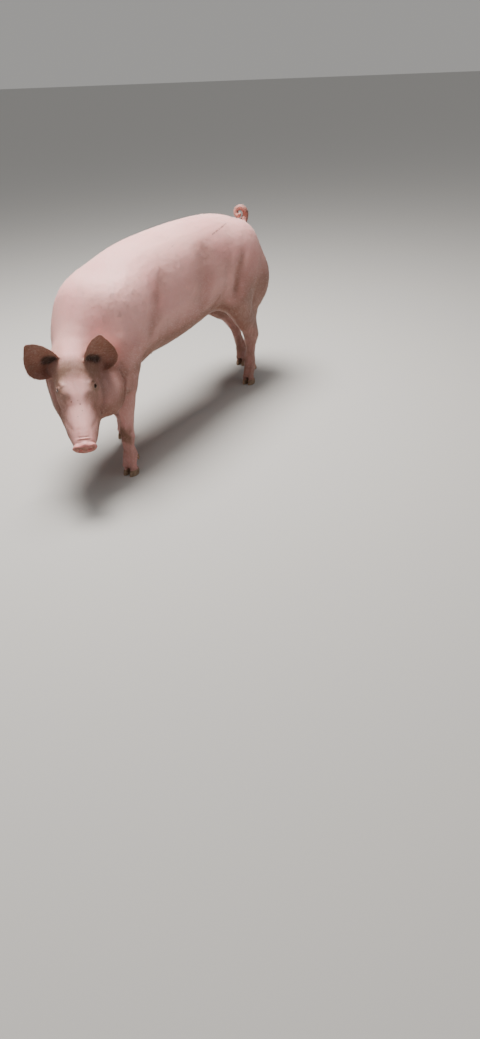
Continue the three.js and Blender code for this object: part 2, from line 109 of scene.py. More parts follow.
# %% [markdown]
# ## The floor and the light
# A pale floor and soft lamps stand for a studio. The big lamp is above, because the back of a pig in
# a barn is lit from the roof and its belly is in soft shade. A very soft sun adds a little from
# above. The world gives a faint light of its own, but the camera sees a pale wall in its place.

# %% Floor and lamps
bpy.ops.mesh.primitive_plane_add(size=60)
floor = bpy.context.object
floor.name = "floor"
floor_finish = bpy.data.materials.new("studio_floor")
floor_finish.use_nodes = True
floor_shader = floor_finish.node_tree.nodes["Principled BSDF"]
floor_shader.inputs["Base Color"].default_value = (0.52, 0.50, 0.47, 1)
floor_shader.inputs["Roughness"].default_value = 0.85
floor.data.materials.append(floor_finish)


def lamp(name, place, target, size, power, colour):
    bpy.ops.object.light_add(type="AREA", location=place)
    light = bpy.context.object
    light.name = name
    light.rotation_euler = (Vector(target) - Vector(place)).to_track_quat("-Z", "Y").to_euler()
    light.data.shape = "DISK"
    light.data.size = size
    light.data.energy = power
    light.data.color = colour


lamp("lamp_roof", (-0.5, 0.2, 3.2), (0, 0, 0.4), size=1.6, power=236, colour=(1.0, 0.975, 0.95))
lamp("lamp_front", (0.9, -3.4, 2.6), (0, -0.3, 0.4), size=2.0, power=9, colour=(0.98, 0.985, 1.0))
lamp("lamp_side", (3.4, 0.6, 1.6), (0, 0.2, 0.4), size=2.0, power=4, colour=(1.0, 0.97, 0.95))
bpy.ops.object.light_add(type="SUN", location=(-0.5, 0.2, 6))
overall = bpy.context.object
overall.name = "lamp_overall"
overall.data.energy = 0.95
overall.data.angle = math.radians(50)
world = bpy.data.worlds.new("studio")
bpy.context.scene.world = world
world.use_nodes = True
nodes = world.node_tree.nodes
air, wall = nodes["Background"], nodes.new("ShaderNodeBackground")
for light, colour, strength in ((air, (0.93, 0.96, 1.0, 1), 0.12), (wall, (1.0, 0.98, 0.95, 1), 0.36)):
    light.inputs["Color"].default_value = colour
    light.inputs["Strength"].default_value = strength
seen, either = nodes.new("ShaderNodeLightPath"), nodes.new("ShaderNodeMixShader")
for start, end in (
    (seen.outputs["Is Camera Ray"], either.inputs[0]),
    (air.outputs[0], either.inputs[1]),
    (wall.outputs[0], either.inputs[2]),
    (either.outputs[0], nodes["World Output"].inputs["Surface"]),
):
    world.node_tree.links.new(start, end)


# %% [markdown]
# ## Small helpers for meshes
# A skin is easiest to shape as an array of points. These helpers pass points between a mesh and
# numpy, run a modifier and apply it, and smooth a surface by moving each point towards its neighbours.

# %% Mesh helpers
def select_only(*objects):
    bpy.ops.object.select_all(action="DESELECT")
    for obj in objects:
        obj.select_set(True)
    bpy.context.view_layer.objects.active = objects[0]


def modify(obj, kind, **settings):
    """Adds one modifier and applies it at once."""
    select_only(obj)
    modifier = obj.modifiers.new(kind.lower(), kind)
    for key, value in settings.items():
        setattr(modifier, key, value)
    bpy.ops.object.modifier_apply(modifier=modifier.name)


def points_of(obj):
    points = np.empty(len(obj.data.vertices) * 3)
    obj.data.vertices.foreach_get("co", points)
    return points.reshape(-1, 3)


def put_points(obj, points):
    obj.data.vertices.foreach_set("co", points.ravel())
    obj.data.update()


def normals_of(obj):
    normals = np.empty(len(obj.data.vertices) * 3)
    obj.data.vertex_normals.foreach_get("vector", normals)
    return normals.reshape(-1, 3)


def edges_of(obj):
    edges = np.empty(len(obj.data.edges) * 2, np.int32)
    obj.data.edges.foreach_get("vertices", edges)
    return edges.reshape(-1, 2).T


def neighbours_mean(values, edges):
    a, b = edges
    count = np.bincount(edges.ravel(), minlength=len(values))
    columns = values if values.ndim > 1 else values[:, None]
    total = [
        np.bincount(a, column[b], len(values)) + np.bincount(b, column[a], len(values))
        for column in columns.T
    ]
    mean = np.stack(total, 1) / np.maximum(count, 1)[:, None]
    return mean if values.ndim > 1 else mean[:, 0]


def relaxed(values, edges, amount, rounds, swell=0.0):
    """Evens values out over a mesh. A swell of about -1.04 pushes back, and a form keeps its size."""
    amount = np.broadcast_to(amount, len(values))
    step = amount[:, None] if values.ndim > 1 else amount
    for _ in range(rounds):
        values = values + step * (neighbours_mean(values, edges) - values)
        if swell:
            values = values + swell * step * (neighbours_mean(values, edges) - values)
    return values


def ease(low, high, values):
    """0 at low, 1 at high, and smooth between."""
    t = np.clip((values - low) / (high - low), 0, 1)
    return t * t * (3 - 2 * t)


# %% [markdown]
# ## One skin over all the flesh
# The solids of the head, ears, neck, trunk, tail and legs are parted by thin cuts that a real pig
# doesn't have. A copy of each is grown by more than half a cut, so that neighbours overlap, and a
# voxel remesh makes them one closed surface. The eyeballs and claws go in too: the skin then passes
# under them, and leaves no socket. Decimate thins the skin where it is nearly flat and leaves it
# dense on the ears, feet and face. The ears are grown more, so that the remesh finds their thin
# sheets whole.

# %% Copy and join
FLESH = ["trunk", "neck", "head", "tail", "ear_left", "ear_right"] + ["leg_" + foot for foot in FEET]
CLAWS = [f"claw_{foot}_{place}" for foot in FEET for place in ("outer", "inner")]
HORN = CLAWS + ["dew" + claw for claw in CLAWS]
EYES = ["eye_" + side for side in SIDES]
GROWTH = {"ear_left": 1.9 * MM, "ear_right": 1.9 * MM}
LEAST_GROWTH = 0.5 * MM
VOXEL = 2.5 * MM
KEPT_SHARE = 0.158


def merged_copy(name):
    copy = bpy.data.objects.new("copy_" + name, frame["nodes"][name].data.copy())
    bpy.context.scene.collection.objects.link(copy)
    copy.data.materials.clear()
    select_only(copy)
    bpy.ops.object.mode_set(mode="EDIT")
    bpy.ops.mesh.select_all(action="SELECT")
    bpy.ops.mesh.remove_doubles(threshold=0.02 * MM)
    bpy.ops.object.mode_set(mode="OBJECT")
    return copy


copies = [merged_copy(name) for name in FLESH]
owner_of_face = np.concatenate([np.full(len(c.data.polygons), i) for i, c in enumerate(copies)])
corners, faces = [], []
for copy in copies:
    faces += [[v + len(corners) for v in face.vertices] for face in copy.data.polygons]
    corners += [v.co.copy() for v in copy.data.vertices]
solids = BVHTree.FromPolygons(corners, faces)
copies += [merged_copy(name) for name in EYES + HORN]
for copy in copies:
    growth = GROWTH.get(copy.name.removeprefix("copy_"), LEAST_GROWTH)
    modify(copy, "DISPLACE", strength=growth, mid_level=0)
select_only(*copies)
bpy.ops.object.join()
skin = bpy.context.object
skin.name = "skin"
modify(skin, "REMESH", mode="VOXEL", voxel_size=VOXEL)
print("remeshed skin:", len(skin.data.polygons), "faces")


# %% [markdown]
# ## Which part each point belongs to
# The parts are one skin now, but coat, colour and folds still differ from part to part. Each point
# takes the name of the nearest solid, and relaxing that as a number between 0 and 1 makes one part
# pass softly into the next.

# %% Membership
GROUPS = ("head", "neck", "trunk", "tail", "ear", "leg_front", "leg_hind")


def membership(points, edges, rounds):
    """How much each point belongs to each solid nearest to it, blended softly across the cuts."""
    owner = np.array([owner_of_face[solids.find_nearest(p)[2]] for p in points.tolist()])
    soft = {}
    for group in GROUPS:
        mine = np.isin(owner, [i for i, name in enumerate(FLESH) if name.startswith(group)])
        soft[group] = relaxed(mine.astype(float), edges, 1.0, rounds)
    soft["leg"] = soft["leg_front"] + soft["leg_hind"]
    return soft


# %% [markdown]
# ## Smooth where parts meet
# The remesh leaves small steps. Relaxing takes them away before and after the skin is thinned. The
# trunk and neck get the most of it and the ears the least. The seams between parts and the root of
# the tail are relaxed once more by themselves.

# %% Even out, thin and even out again
points, edges = points_of(skin), edges_of(skin)
put_points(skin, relaxed(points, edges, 0.5, 6, swell=-1.04))
modify(skin, "DECIMATE", ratio=KEPT_SHARE, use_collapse_triangulate=True)
print("thinned skin:", len(skin.data.vertices), "points,", len(skin.data.polygons), "faces")
points, edges = points_of(skin), edges_of(skin)
part = membership(points, edges, 4)
broad = np.clip(part["trunk"] + part["neck"], 0, 1)
points = relaxed(points, edges, 0.1 + 0.45 * broad, 26, swell=-0.6)
points = relaxed(points, edges, 0.5 * (1 - part["ear"]), 8, swell=-1.04)
wide = membership(points, edges, 16)
seam = 1 - np.max([wide[group] for group in GROUPS if group != "ear"], axis=0)
seam *= (1 - ease(0.0, 0.4, wide["ear"])) * (1 - ease(0.1, 0.4, wide["tail"]))
points = relaxed(points, edges, 0.55 * ease(0.0, 0.12, seam), 30, swell=-0.8)
tail_root = ease(0.02, 0.15, wide["tail"]) * ease(0.95, 0.6, wide["tail"])
points = relaxed(points, edges, 0.5 * tail_root, 24, swell=-0.8)
put_points(skin, points)


# %% [markdown]
# ## The curl of the tail
# A pig's tail closes into a ring when it is at ease. The ring's outer half is turned on round its
# own centre, more and more towards the tip, as a wire is wound on. Angles are in half turns.

# %% Wind the tip of the tail on
CURL = {"outside": 35 * MM, "ahead": 20 * MM, "tip": 23 * MM, "from": 0.5, "to": 1.7, "turn": 0.32}
tail_low, tail_high, tail_mid = middle("tail")
points = points_of(skin)
x, z = points[:, 0] - (tail_high.x - CURL["outside"]), points[:, 2] - (tail_high.z - CURL["outside"])
angle = np.arctan2(z, x) / np.pi
angle[(angle < -0.6) | (angle < -0.03) & (points[:, 1] < tail_low.y + CURL["ahead"])] += 2
out = np.hypot(x, z)
outermost = CURL["outside"] + (CURL["tip"] - CURL["outside"]) * ease(1.0, 1.5, angle)
on_ring = part["tail"] * (out < 1.08 * outermost) > 0.3
on_ring &= (out > 0.2 * CURL["outside"]) | (points[:, 1] < tail_low.y + 1.5 * CURL["ahead"])
turn = on_ring * ease(CURL["from"], CURL["to"], angle) * CURL["turn"] * np.pi
points[:, 0] += x * (np.cos(turn) - 1) - z * np.sin(turn)
points[:, 2] += z * (np.cos(turn) - 1) + x * np.sin(turn)
put_points(skin, relaxed(points, edges_of(skin), 0.5 * (part["tail"] > 0.3), 5, swell=-1.0))
print("tail wound on by up to", round(math.degrees(turn.max())), "degrees")

# %% [markdown]
# ## The head's own directions
# The solids' eyes show how the head is turned. Its frame is given by three turns and placed from the
# eyes: left, ahead and up from the poll, between the ears, in millimetres. Every detail of the face
# is placed in this frame.

# %% Head frame
HEAD_TURN = {"Z": 40, "X": 39.3, "Y": 2}
EYES_FROM_POLL = Vector((0, 108 * MM, -38 * MM))
head_axes = Matrix.Identity(3)
for axis, angle in HEAD_TURN.items():
    head_axes = head_axes @ Matrix.Rotation(math.radians(angle), 3, axis)
head_axes = head_axes @ Matrix.Diagonal((1, -1, 1))
_, AHEAD, UPWARD = head_axes.transposed()
eye_centres = {side: middle("eye_" + side)[2] for side in SIDES}
between_eyes = (eye_centres["left"] + eye_centres["right"]) / 2
poll = between_eyes - head_axes @ EYES_FROM_POLL


def on_head(left, ahead, up):
    return poll + head_axes @ Vector((left * MM, ahead * MM, up * MM))


def in_head(points):
    """Points as millimetres left, ahead and up from the poll."""
    return (points - np.array(poll)) @ np.array(head_axes) / MM


SNOUT = {"ahead": 316, "up": -67, "half": 40, "high": 31}
NOSTRIL = (15, 328, -62)
print("snout at", [round(v, 3) for v in on_head(0, SNOUT["ahead"], SNOUT["up"])])


# %% [markdown]
# ## Finer mesh for small forms
# Lids, nostrils, teats, the folds under the tail and the rims above the claws are only a few
# millimetres wide. Faces near them are subdivided until their edges are short enough to carry the
# form, and the rest of the skin stays light. Beautify turns edges so that no sliver is left, and a
# little relaxing evens out what was cut.

# %% Refine round a place
def skin_tree():
    faces = [list(face.vertices) for face in skin.data.polygons]
    return BVHTree.FromPolygons(points_of(skin).tolist(), faces)


def within(points, places, reach):
    near = np.zeros(len(points), bool)
    for place in places:
        near |= np.linalg.norm(points - np.array(place), axis=1) < reach
    return near


def refine(places, reach, longest):
    """Subdivides the skin's edges that are longer than wanted, within reach of any of the places."""
    for _ in range(4):
        points, (a, b) = points_of(skin), edges_of(skin)
        near = within(points, places, reach)
        long = np.linalg.norm(points[a] - points[b], axis=1) > longest
        chosen = near[a] & near[b] & long
        if not chosen.any():
            break
        select_only(skin)
        bpy.ops.object.mode_set(mode="EDIT")
        bpy.ops.mesh.select_mode(type="EDGE")
        bpy.ops.mesh.select_all(action="DESELECT")
        bpy.ops.object.mode_set(mode="OBJECT")
        skin.data.edges.foreach_set("select", chosen)
        bpy.ops.object.mode_set(mode="EDIT")
        bpy.ops.mesh.subdivide(number_cuts=1)
        bpy.ops.mesh.select_more()
        bpy.ops.mesh.quads_convert_to_tris(quad_method="SHORTEST_DIAGONAL", ngon_method="BEAUTY")
        bpy.ops.mesh.beautify_fill(angle_limit=math.radians(60))
        bpy.ops.object.mode_set(mode="OBJECT")
        points = points_of(skin)
        loose = 0.5 * within(points, places, reach * 1.05)
        put_points(skin, relaxed(points, edges_of(skin), loose, 2, swell=-1.04))


TEAT = {"pairs": 7, "first": 0.27, "step": 0.083, "aside": 44 * MM, "stagger": 3 * MM}
RUMP = (0.64, 0.61, 0.56, 0.46)
trunk_low, trunk_high, trunk_mid = middle("trunk")
tree = skin_tree()
teats = []
for pair in range(TEAT["pairs"]):
    back = trunk_low.y + (trunk_high.y - trunk_low.y) * (TEAT["first"] + TEAT["step"] * pair)
    for side in SIDES.values():
        aside = side * (TEAT["aside"] + TEAT["stagger"] * (pair % 2))
        below = Vector((trunk_mid.x + aside, back, trunk_low.z / 2))
        teats.append(tree.ray_cast(below, Vector((0, 0, 1)))[0])
rump = trunk_low.z + np.array(RUMP) * (trunk_high.z - trunk_low.z)
behind = [tree.find_nearest(Vector((tail_mid.x, trunk_high.y, z)))[0] for z in rump]
refine(behind, reach=28 * MM, longest=3.4 * MM)
refine(teats, reach=20 * MM, longest=4 * MM)
refine(teats, reach=9 * MM, longest=1.6 * MM)
refine(eye_centres.values(), reach=27 * MM, longest=1.5 * MM)
refine(eye_centres.values(), reach=17 * MM, longest=0.75 * MM)
refine([on_head(0, SNOUT["ahead"], SNOUT["up"])], reach=44 * MM, longest=2.2 * MM)
above_claws = [high * 0.2 + mid * 0.8 + Vector((0, 0, 14 * MM)) for _, high, mid in map(middle, CLAWS)]
refine(above_claws, reach=34 * MM, longest=3.2 * MM)
print("refined skin:", len(skin.data.vertices), "points,", len(skin.data.polygons), "faces")

# %% [markdown]
# ## Close what turning edges left open
# Where beautify has folded a face over, an edge may belong to three faces or to one. Such points are
# deleted, the small holes are filled with triangles, and all faces are made to look outwards.

# %% Repair the mesh
select_only(skin)
bpy.ops.object.mode_set(mode="EDIT")
bpy.ops.mesh.select_mode(type="VERT")
bpy.ops.mesh.select_all(action="DESELECT")
bpy.ops.mesh.select_non_manifold()
bpy.ops.mesh.delete(type="VERT")
bpy.ops.mesh.select_all(action="SELECT")
bpy.ops.mesh.fill_holes(sides=0)
bpy.ops.mesh.select_all(action="SELECT")
bpy.ops.mesh.quads_convert_to_tris(quad_method="SHORTEST_DIAGONAL", ngon_method="BEAUTY")
bpy.ops.mesh.normals_make_consistent(inside=False)
bpy.ops.object.mode_set(mode="OBJECT")
print("repaired skin:", len(skin.data.vertices), "points,", len(skin.data.polygons), "faces")

# %% [markdown]
# ## The depth of the coat
# The solids reach to the tips of the bristles, so the skin is drawn in by the coat's depth: most on
# the body, less on the face and feet. The ears also lose what they were grown by. Nowhere does the
# skin lose more than a set share of its thickness, so that a thin rim keeps two sides.

# %% Draw the skin in
THICKNESS_SHARE = 0.3
points, normals, edges = points_of(skin), normals_of(skin), edges_of(skin)
part = membership(points, edges, 6)
depth = 2.0 * (part["trunk"] + part["neck"]) + 0.8 * part["head"] + 1.2 * part["leg"]
depth = (0.5 + depth + 2.0 * part["ear"] + 0.8 * part["tail"]) * MM
tree = skin_tree()
rays = zip((points - normals * 0.1 * MM).tolist(), (-normals).tolist())
thick = [tree.ray_cast(Vector(start), Vector(way))[3] or 1 for start, way in rays]
depth = relaxed(np.minimum(depth, THICKNESS_SHARE * np.array(thick)), edges, 0.5, 2)
put_points(skin, points - normals * depth[:, None])
gap = [solids.find_nearest(p)[3] for p in points_of(skin)[::50].tolist()]
print("skin lies", round(float(np.median(gap)) / MM, 1), "mm inside the solids")


# %% [markdown]
# ## Creases and ridges
# A sculptor draws a fold by pressing a line into clay. Here the line is a few chosen points, made a
# smooth curve and dropped onto the skin. Points near it sink along their normals, a little lip
# rises on each side, and both fade out towards the line's ends.

# %% Press a line into the skin
def curve_through(stops, count):
    """A smooth curve through the stops, as an array of points."""
    stops = np.array([list(stop) for stop in stops])
    spots = np.linspace(0, len(stops) - 1, count)
    i = np.minimum(spots.astype(int), len(stops) - 2)
    t = (spots - i)[:, None]
    before, after = stops[np.maximum(i - 1, 0)], stops[np.minimum(i + 2, len(stops) - 1)]
    a, b = stops[i], stops[i + 1]
    bend = (2 * t**3 - 3 * t**2 + 1) * a + (3 * t**2 - 2 * t**3) * b
    return bend + (t**3 - 2 * t**2 + t) * (b - before) / 2 + (t**3 - t**2) * (after - a) / 2


def press(lines, width, deep, lip=0.25, fade=0.25):
    """Presses lines in, width and depth in millimetres. A negative depth raises a ridge instead."""
    tree = skin_tree()
    points, normals = points_of(skin), normals_of(skin)
    move = np.zeros(len(points))
    for stops in lines:
        line = np.array([list(tree.find_nearest(p)[0]) for p in curve_through(stops, 50).tolist()])
        reach = 4 * width * MM
        near = ((points > line.min(0) - reach) & (points < line.max(0) + reach)).all(1)
        away = np.linalg.norm(points[near, None] - line[None], axis=2) / (width * MM)
        along, distance = away.argmin(1) / (len(line) - 1), away.min(1)
        ends = ease(0, fade, along) * ease(0, fade, 1 - along)
        move[near] += ends * (lip * np.exp(-((distance - 2.1) ** 2)) - np.exp(-(distance**2)))
    put_points(skin, points + normals * (move * deep * MM)[:, None])


# %% [markdown]
# ## The eyelids
# A pig's lids fit closely over the ball and leave an almond opening, slanted down towards the snout.
# In the eye's own directions each skin point near it is measured against that almond: outside, it is
# lifted to lie over the ball with the lid's thickness, and inside, it is left behind the ball. The
# lid's edge is rounded between the two. A fold above the upper lid and one below the lower follow.

# %% Shape the lids
EYE_RADIUS = (middle("eye_left")[1] - middle("eye_left")[0]).x / 2
LID = {"half": 10.5, "above": 6.2, "below": 3.8, "thick": 1.5, "slant": 16}
LID_FOLDS = ((-13, 12, 9.5), (-11, 11, -7.5), (-14, 13, 15.5))


def eye_axes(side):
    """Out of the head, towards the inner corner, and up, for one eye."""
    centre = eye_centres[side]
    out = (skin_tree().find_nearest(centre)[0] - centre).normalized()
    slant = Matrix.Rotation(math.radians(-LID["slant"] * SIDES[side]), 3, out)
    inner = slant @ (AHEAD - out * AHEAD.dot(out)).normalized()
    rise = inner.cross(out)
    return out, inner, rise if rise.dot(UPWARD) > 0 else -rise


def almond(across, rise):
    """Millimetres outside the opening of the lids; negative within it."""
    arch = 1 - (across / LID["half"]) ** 2
    return np.maximum(rise - LID["above"] * arch, -rise - LID["below"] * arch)


eye_frames = {side: eye_axes(side) for side in SIDES}
points, edges = points_of(skin), edges_of(skin)
ball = EYE_RADIUS / MM
for side, (out, inner, rise) in eye_frames.items():
    centre = np.array(eye_centres[side])
    away = (points - centre) / MM
    facing = away @ np.array(out) > 0
    outside = almond(away @ np.array(inner), away @ np.array(rise))
    reach = np.linalg.norm(away, axis=1)
    thick = LID["thick"] * np.sqrt(np.clip(outside / 1.1, 0, 1)) - 1.8 * ease(0, 1.2, -outside)
    near = facing & (reach < 1.75 * ball)
    target = np.where(outside > 0, np.maximum(reach, ball + thick), ball + thick)
    away[near] *= (target / reach)[near, None]
    points[near] = (centre + away * MM)[near]
    skirt = facing & (outside > 3) & (reach < 2.3 * ball)
    points = relaxed(points, edges, 0.5 * skirt * ease(3, 6, outside), 10)
put_points(skin, points)

lid_folds = []
for side, (out, inner, rise) in eye_frames.items():
    centre = eye_centres[side] + out * EYE_RADIUS
    for x0, x1, high in LID_FOLDS:
        stops = [(x0, high * 0.35), (x0 * 0.5, high * 0.9), (0, high)]
        stops += [(x1 * 0.5, high * 0.85), (x1, high * 0.3)]
        lid_folds.append([centre + inner * (x * MM) + rise * (z * MM) for x, z in stops])
press(lid_folds[0::3] + lid_folds[1::3], 1.3, 0.9)
press(lid_folds[2::3], 2.4, 1.0)
print("eyes look", [round(v, 2) for v in eye_frames["left"][0]])


# %% [markdown]
# ## The snout, the nostrils and the mouth
# The snout ends in a tough disc with a raised rim, a slightly hollow face and two nostrils. Behind
# the rim the skin wrinkles across the top each time the pig pushes. The mouth is a long closed line
# that runs from under the disc back along the jaw and turns up at its corner.

# %% Shape the disc
points = points_of(skin)
left, ahead, up = in_head(points).T
across, rise = left / SNOUT["half"], (up - SNOUT["up"]) / SNOUT["high"]
ring = np.hypot(across, rise)
mine = (ahead > 285) & (ring < 1.6)
radial = np.stack([across, np.zeros(len(left)), rise], 1) / np.maximum(ring, 0.2)[:, None]
rim = 1.7 * np.exp(-(((ahead - 317) / 5) ** 2)) - 1.6 * np.exp(-(((ahead - 303) / 5) ** 2))
rim *= ease(0.45, 0.9, ring) * (1 + 0.5 * ease(-70, -40, up))
face = -2.6 * ease(316, 324, ahead) * (1 - ease(0.1, 0.85, ring))
move = radial * rim[:, None] + np.outer(face, (0, 1, 0))
points[mine] += (move @ np.array(head_axes).T * MM)[mine]
put_points(skin, points)

# %% [markdown]
# ## Nostrils, wrinkles and mouth
# A nostril is an oval pit with a soft raised rim. Wrinkles and the mouth are pressed lines, given as
# places on the head in millimetres left, ahead and up from the poll.

# %% Nostrils, wrinkles and mouth
points = points_of(skin)
for side in SIDES.values():
    left, ahead, up = in_head(points).T
    hole = np.hypot((left - NOSTRIL[0] * side) / 6.5, (up - NOSTRIL[2]) / 5.2)
    mine = (ahead > 300) & (hole < 2.2)
    sink = 13 * (1 - ease(0.55, 1.05, hole)) - 1.2 * np.exp(-(((hole - 1.45) / 0.3) ** 2))
    points[mine] -= (np.outer(sink, np.array(AHEAD)) * MM)[mine]
put_points(skin, points)


def both_sides(stops):
    return [[on_head(left * side, ahead, up) for left, ahead, up in stops] for side in SIDES.values()]


WRINKLES = ((300, 27), (289, 30), (277, 28), (262, 22))
ACROSS = (-1, -0.6, -0.2, 0.2, 0.6, 1)
across_snout = [
    [on_head(left * half, ahead - 5 * left**2, -34 - 16 * left**2) for left in ACROSS]
    for ahead, half in WRINKLES
]
press(across_snout[:2], 2.4, 1.3)
press(across_snout[2:], 2.8, 0.8)
MOUTH = [
    (0, 296, -104), (18, 292, -106), (29, 272, -110), (36, 240, -113), (42, 205, -112),
    (50, 172, -106), (54, 156, -97),
]
press(both_sides(MOUTH), 2.6, 3.2, lip=0.35, fade=0.08)
print("snout, nostrils and mouth shaped")

# %% [markdown]
# ## Folds of the face, the neck and the legs
# The cheek of a pig is a round pad set apart from the face by a soft groove. A brow stands over each
# eye, fine wrinkles run from the eye's inner corner, and the skin folds where a limb or the neck
# bends: behind the cheeks, at the elbows, in front of the thighs, at knees, hocks and pasterns.

# %% Face
CHEEK = [(80, 58, -34), (86, 85, -46), (89, 112, -54), (87, 134, -61), (78, 156, -72), (64, 174, -84)]
press(both_sides(CHEEK), 7, 6.5)
press(both_sides([(66, 84, -22), (54, 96, -14), (42, 112, -14)]), 8, -2.4, lip=0.1)
press(both_sides([(24, 262, -46), (38, 236, -62), (42, 204, -80), (46, 176, -92)]), 6.5, 1.6)
press(both_sides([(56, 124, -34), (47, 136, -28), (36, 148, -25)]), 2.2, 1.3)
press(both_sides([(62, 128, -46), (54, 146, -42), (42, 160, -38)]), 2.6, 1.1)
press(both_sides([(68, 124, -58), (64, 144, -58), (54, 164, -56)]), 3.0, 1.0)
press(both_sides([(36, 132, -20), (30, 160, -28), (27, 200, -36)]), 5.0, 1.2)
press(both_sides([(10, 150, -26), (9, 122, -14), (13, 92, -6)]), 4.0, 0.9)
press([[on_head(left, 58 + 9 * abs(left) / 30, -2) for left in (-34, -17, 0, 17, 34)]], 5, 0.9)
JOWL = [
    (146, 34, -38), (158, 56, -66), (164, 74, -84), (163, 92, -94), (158, 110, -102),
    (148, 132, -112), (132, 154, -126),
]
RIGHT_JOWL = [(-104, 24, -50), (-116, 52, -78), (-112, 84, -104), (-96, 110, -124)]
BEHIND_JOWL = [(152, 20, -30), (172, 40, -52), (184, 62, -70)]
press([[on_head(*stop) for stop in JOWL]], 5, 5.5, lip=0.3, fade=0.15)
press([[on_head(*stop) for stop in RIGHT_JOWL]], 8, 3)
press([[on_head(*stop) for stop in BEHIND_JOWL]], 7, 2.5)
print("face folded")

# %% [markdown]
# ## Teats
# A young sow has two rows of seven. Each is a low mound with a small nub in its middle.

# %% Teats
points, normals = points_of(skin), normals_of(skin)
for teat in teats:
    near = np.linalg.norm(points - np.array(teat), axis=1) / MM
    close = near < 30
    spot = points[close][np.argmin(near[close])]
    way = normals[close][np.argmin(near[close])]
    aside = (points[close] - spot) / MM
    aside = np.linalg.norm(aside - np.outer(aside @ way, way), axis=1)
    swell = 1.8 * np.exp(-((aside / 10) ** 2)) + 7.0 * (1 - ease(1.2, 5.8, aside))
    points[close] += np.outer(swell * MM, way)
put_points(skin, points)
print("teats:", len(teats))

# %% [markdown]
# ## Folds of the body and the limbs
# Wide, shallow lines part the shoulder, the belly and the ham from each other. Narrow ones go round
# knees, hocks and pasterns. Under the tail a short line sinks, and a broad ridge rises below it with
# a narrow line along its middle.

# %% Body and limbs
def leg_ring(foot, height, reach, back):
    """A line round a leg at a height in metres, reach degrees to each side; back turns it round."""
    low, high, _ = middle("leg_" + foot)
    near = np.abs(points[:, 2] - height) < 4 * MM
    for axis in (0, 1):
        near &= (points[:, axis] > low[axis]) & (points[:, axis] < high[axis])
    centre = Vector(points[near].mean(0))
    turns = np.radians(np.linspace(-reach, reach, 5) + back)
    return [centre + Vector((math.sin(turn), -math.cos(turn), 0)) * 0.06 for turn in turns]


def on_flanks(stops):
    """A line on each side of the trunk, by parts of its length from the front and its height."""
    size = trunk_high - trunk_low
    lines = []
    for side in SIDES.values():
        places = [(trunk_low.y + along * size.y, trunk_low.z + up * size.z) for along, up in stops]
        lines.append([tree.find_nearest(Vector((0.22 * side, y, z)))[0] for y, z in places])
    return lines


KNEES = {foot: (0.165, 0) if foot.startswith("front") else (0.235, 180) for foot in FEET}
points, tree = points_of(skin), skin_tree()
knee_lines, pastern_lines = [], []
for foot, (knee, bend) in KNEES.items():
    knee_lines += [leg_ring(foot, knee + rise, 80, bend) for rise in (-0.014, 0.004, 0.022)]
    pastern_lines += [leg_ring(foot, 0.088, 95, 0), leg_ring(foot, 0.062, 95, 180)]
press(knee_lines, 3.2, 1.0)
press(pastern_lines, 3.6, 1.3)
BELLY = [(0.56, 0.88), (0.514, 0.79), (0.478, 0.61), (0.469, 0.41), (0.50, 0.26)]
HAM = [(0.77, 0.74), (0.709, 0.58), (0.671, 0.40), (0.644, 0.27)]
SHOULDER = [(0.271, 0.90), (0.208, 0.68), (0.154, 0.46), (0.118, 0.27)]
for stops, width, deep in ((BELLY, 40, 7), (HAM, 24, 5), (SHOULDER, 34, 5)):
    press(on_flanks(stops), width, deep, lip=0.2)
press(on_flanks([(0.60, 0.30), (0.575, 0.22), (0.56, 0.14), (0.57, 0.08)]), 11, 4)
press(on_flanks([(0.035, 0.16), (0.085, 0.12), (0.13, 0.15)]), 8, 3)
press([behind[:2]], 7, 4, lip=0.5, fade=0.1)
press([behind[2:]], 15, -10, lip=0.1, fade=0.4)
press([behind[2:]], 3.0, 4.0, lip=0.3, fade=0.3)
print("folds pressed")

# %% [markdown]
# ## Feet: the soft rim above the horn
# Where skin meets horn, a foot has a soft, slightly swollen rim. Points of the skin near the claws'
# upper edge are pushed out and a little down over the horn.

# %% Coronets
CORONET = {"out": 3.4 * MM, "down": 1.0 * MM, "below_top": 1.5, "width": 6}
horn_parts = [merged_copy(name) for name in HORN]
horn_points = {obj.name.removeprefix("copy_"): points_of(obj) for obj in horn_parts}
claw_top = max(horn_points[name][:, 2].max() for name in CLAWS)
points, normals = points_of(skin), normals_of(skin)
rise_above = (points[:, 2] - claw_top) / MM
rim = np.exp(-(((rise_above + CORONET["below_top"]) / CORONET["width"]) ** 2))
move = normals * (rim * CORONET["out"])[:, None]
move[:, 2] -= rim * CORONET["down"]
put_points(skin, points + move)
print("claws reach", round(claw_top / MM, 1), "mm up")


# %% [markdown]
# ## Claws of horn
# Each claw is copied from its solid, remeshed finely and relaxed until its facets are gone, then the
# sole is flattened again on the floor. Growth rings run round the wall, closer together near the
# coronet. The little dewclaws behind are made in the same way.

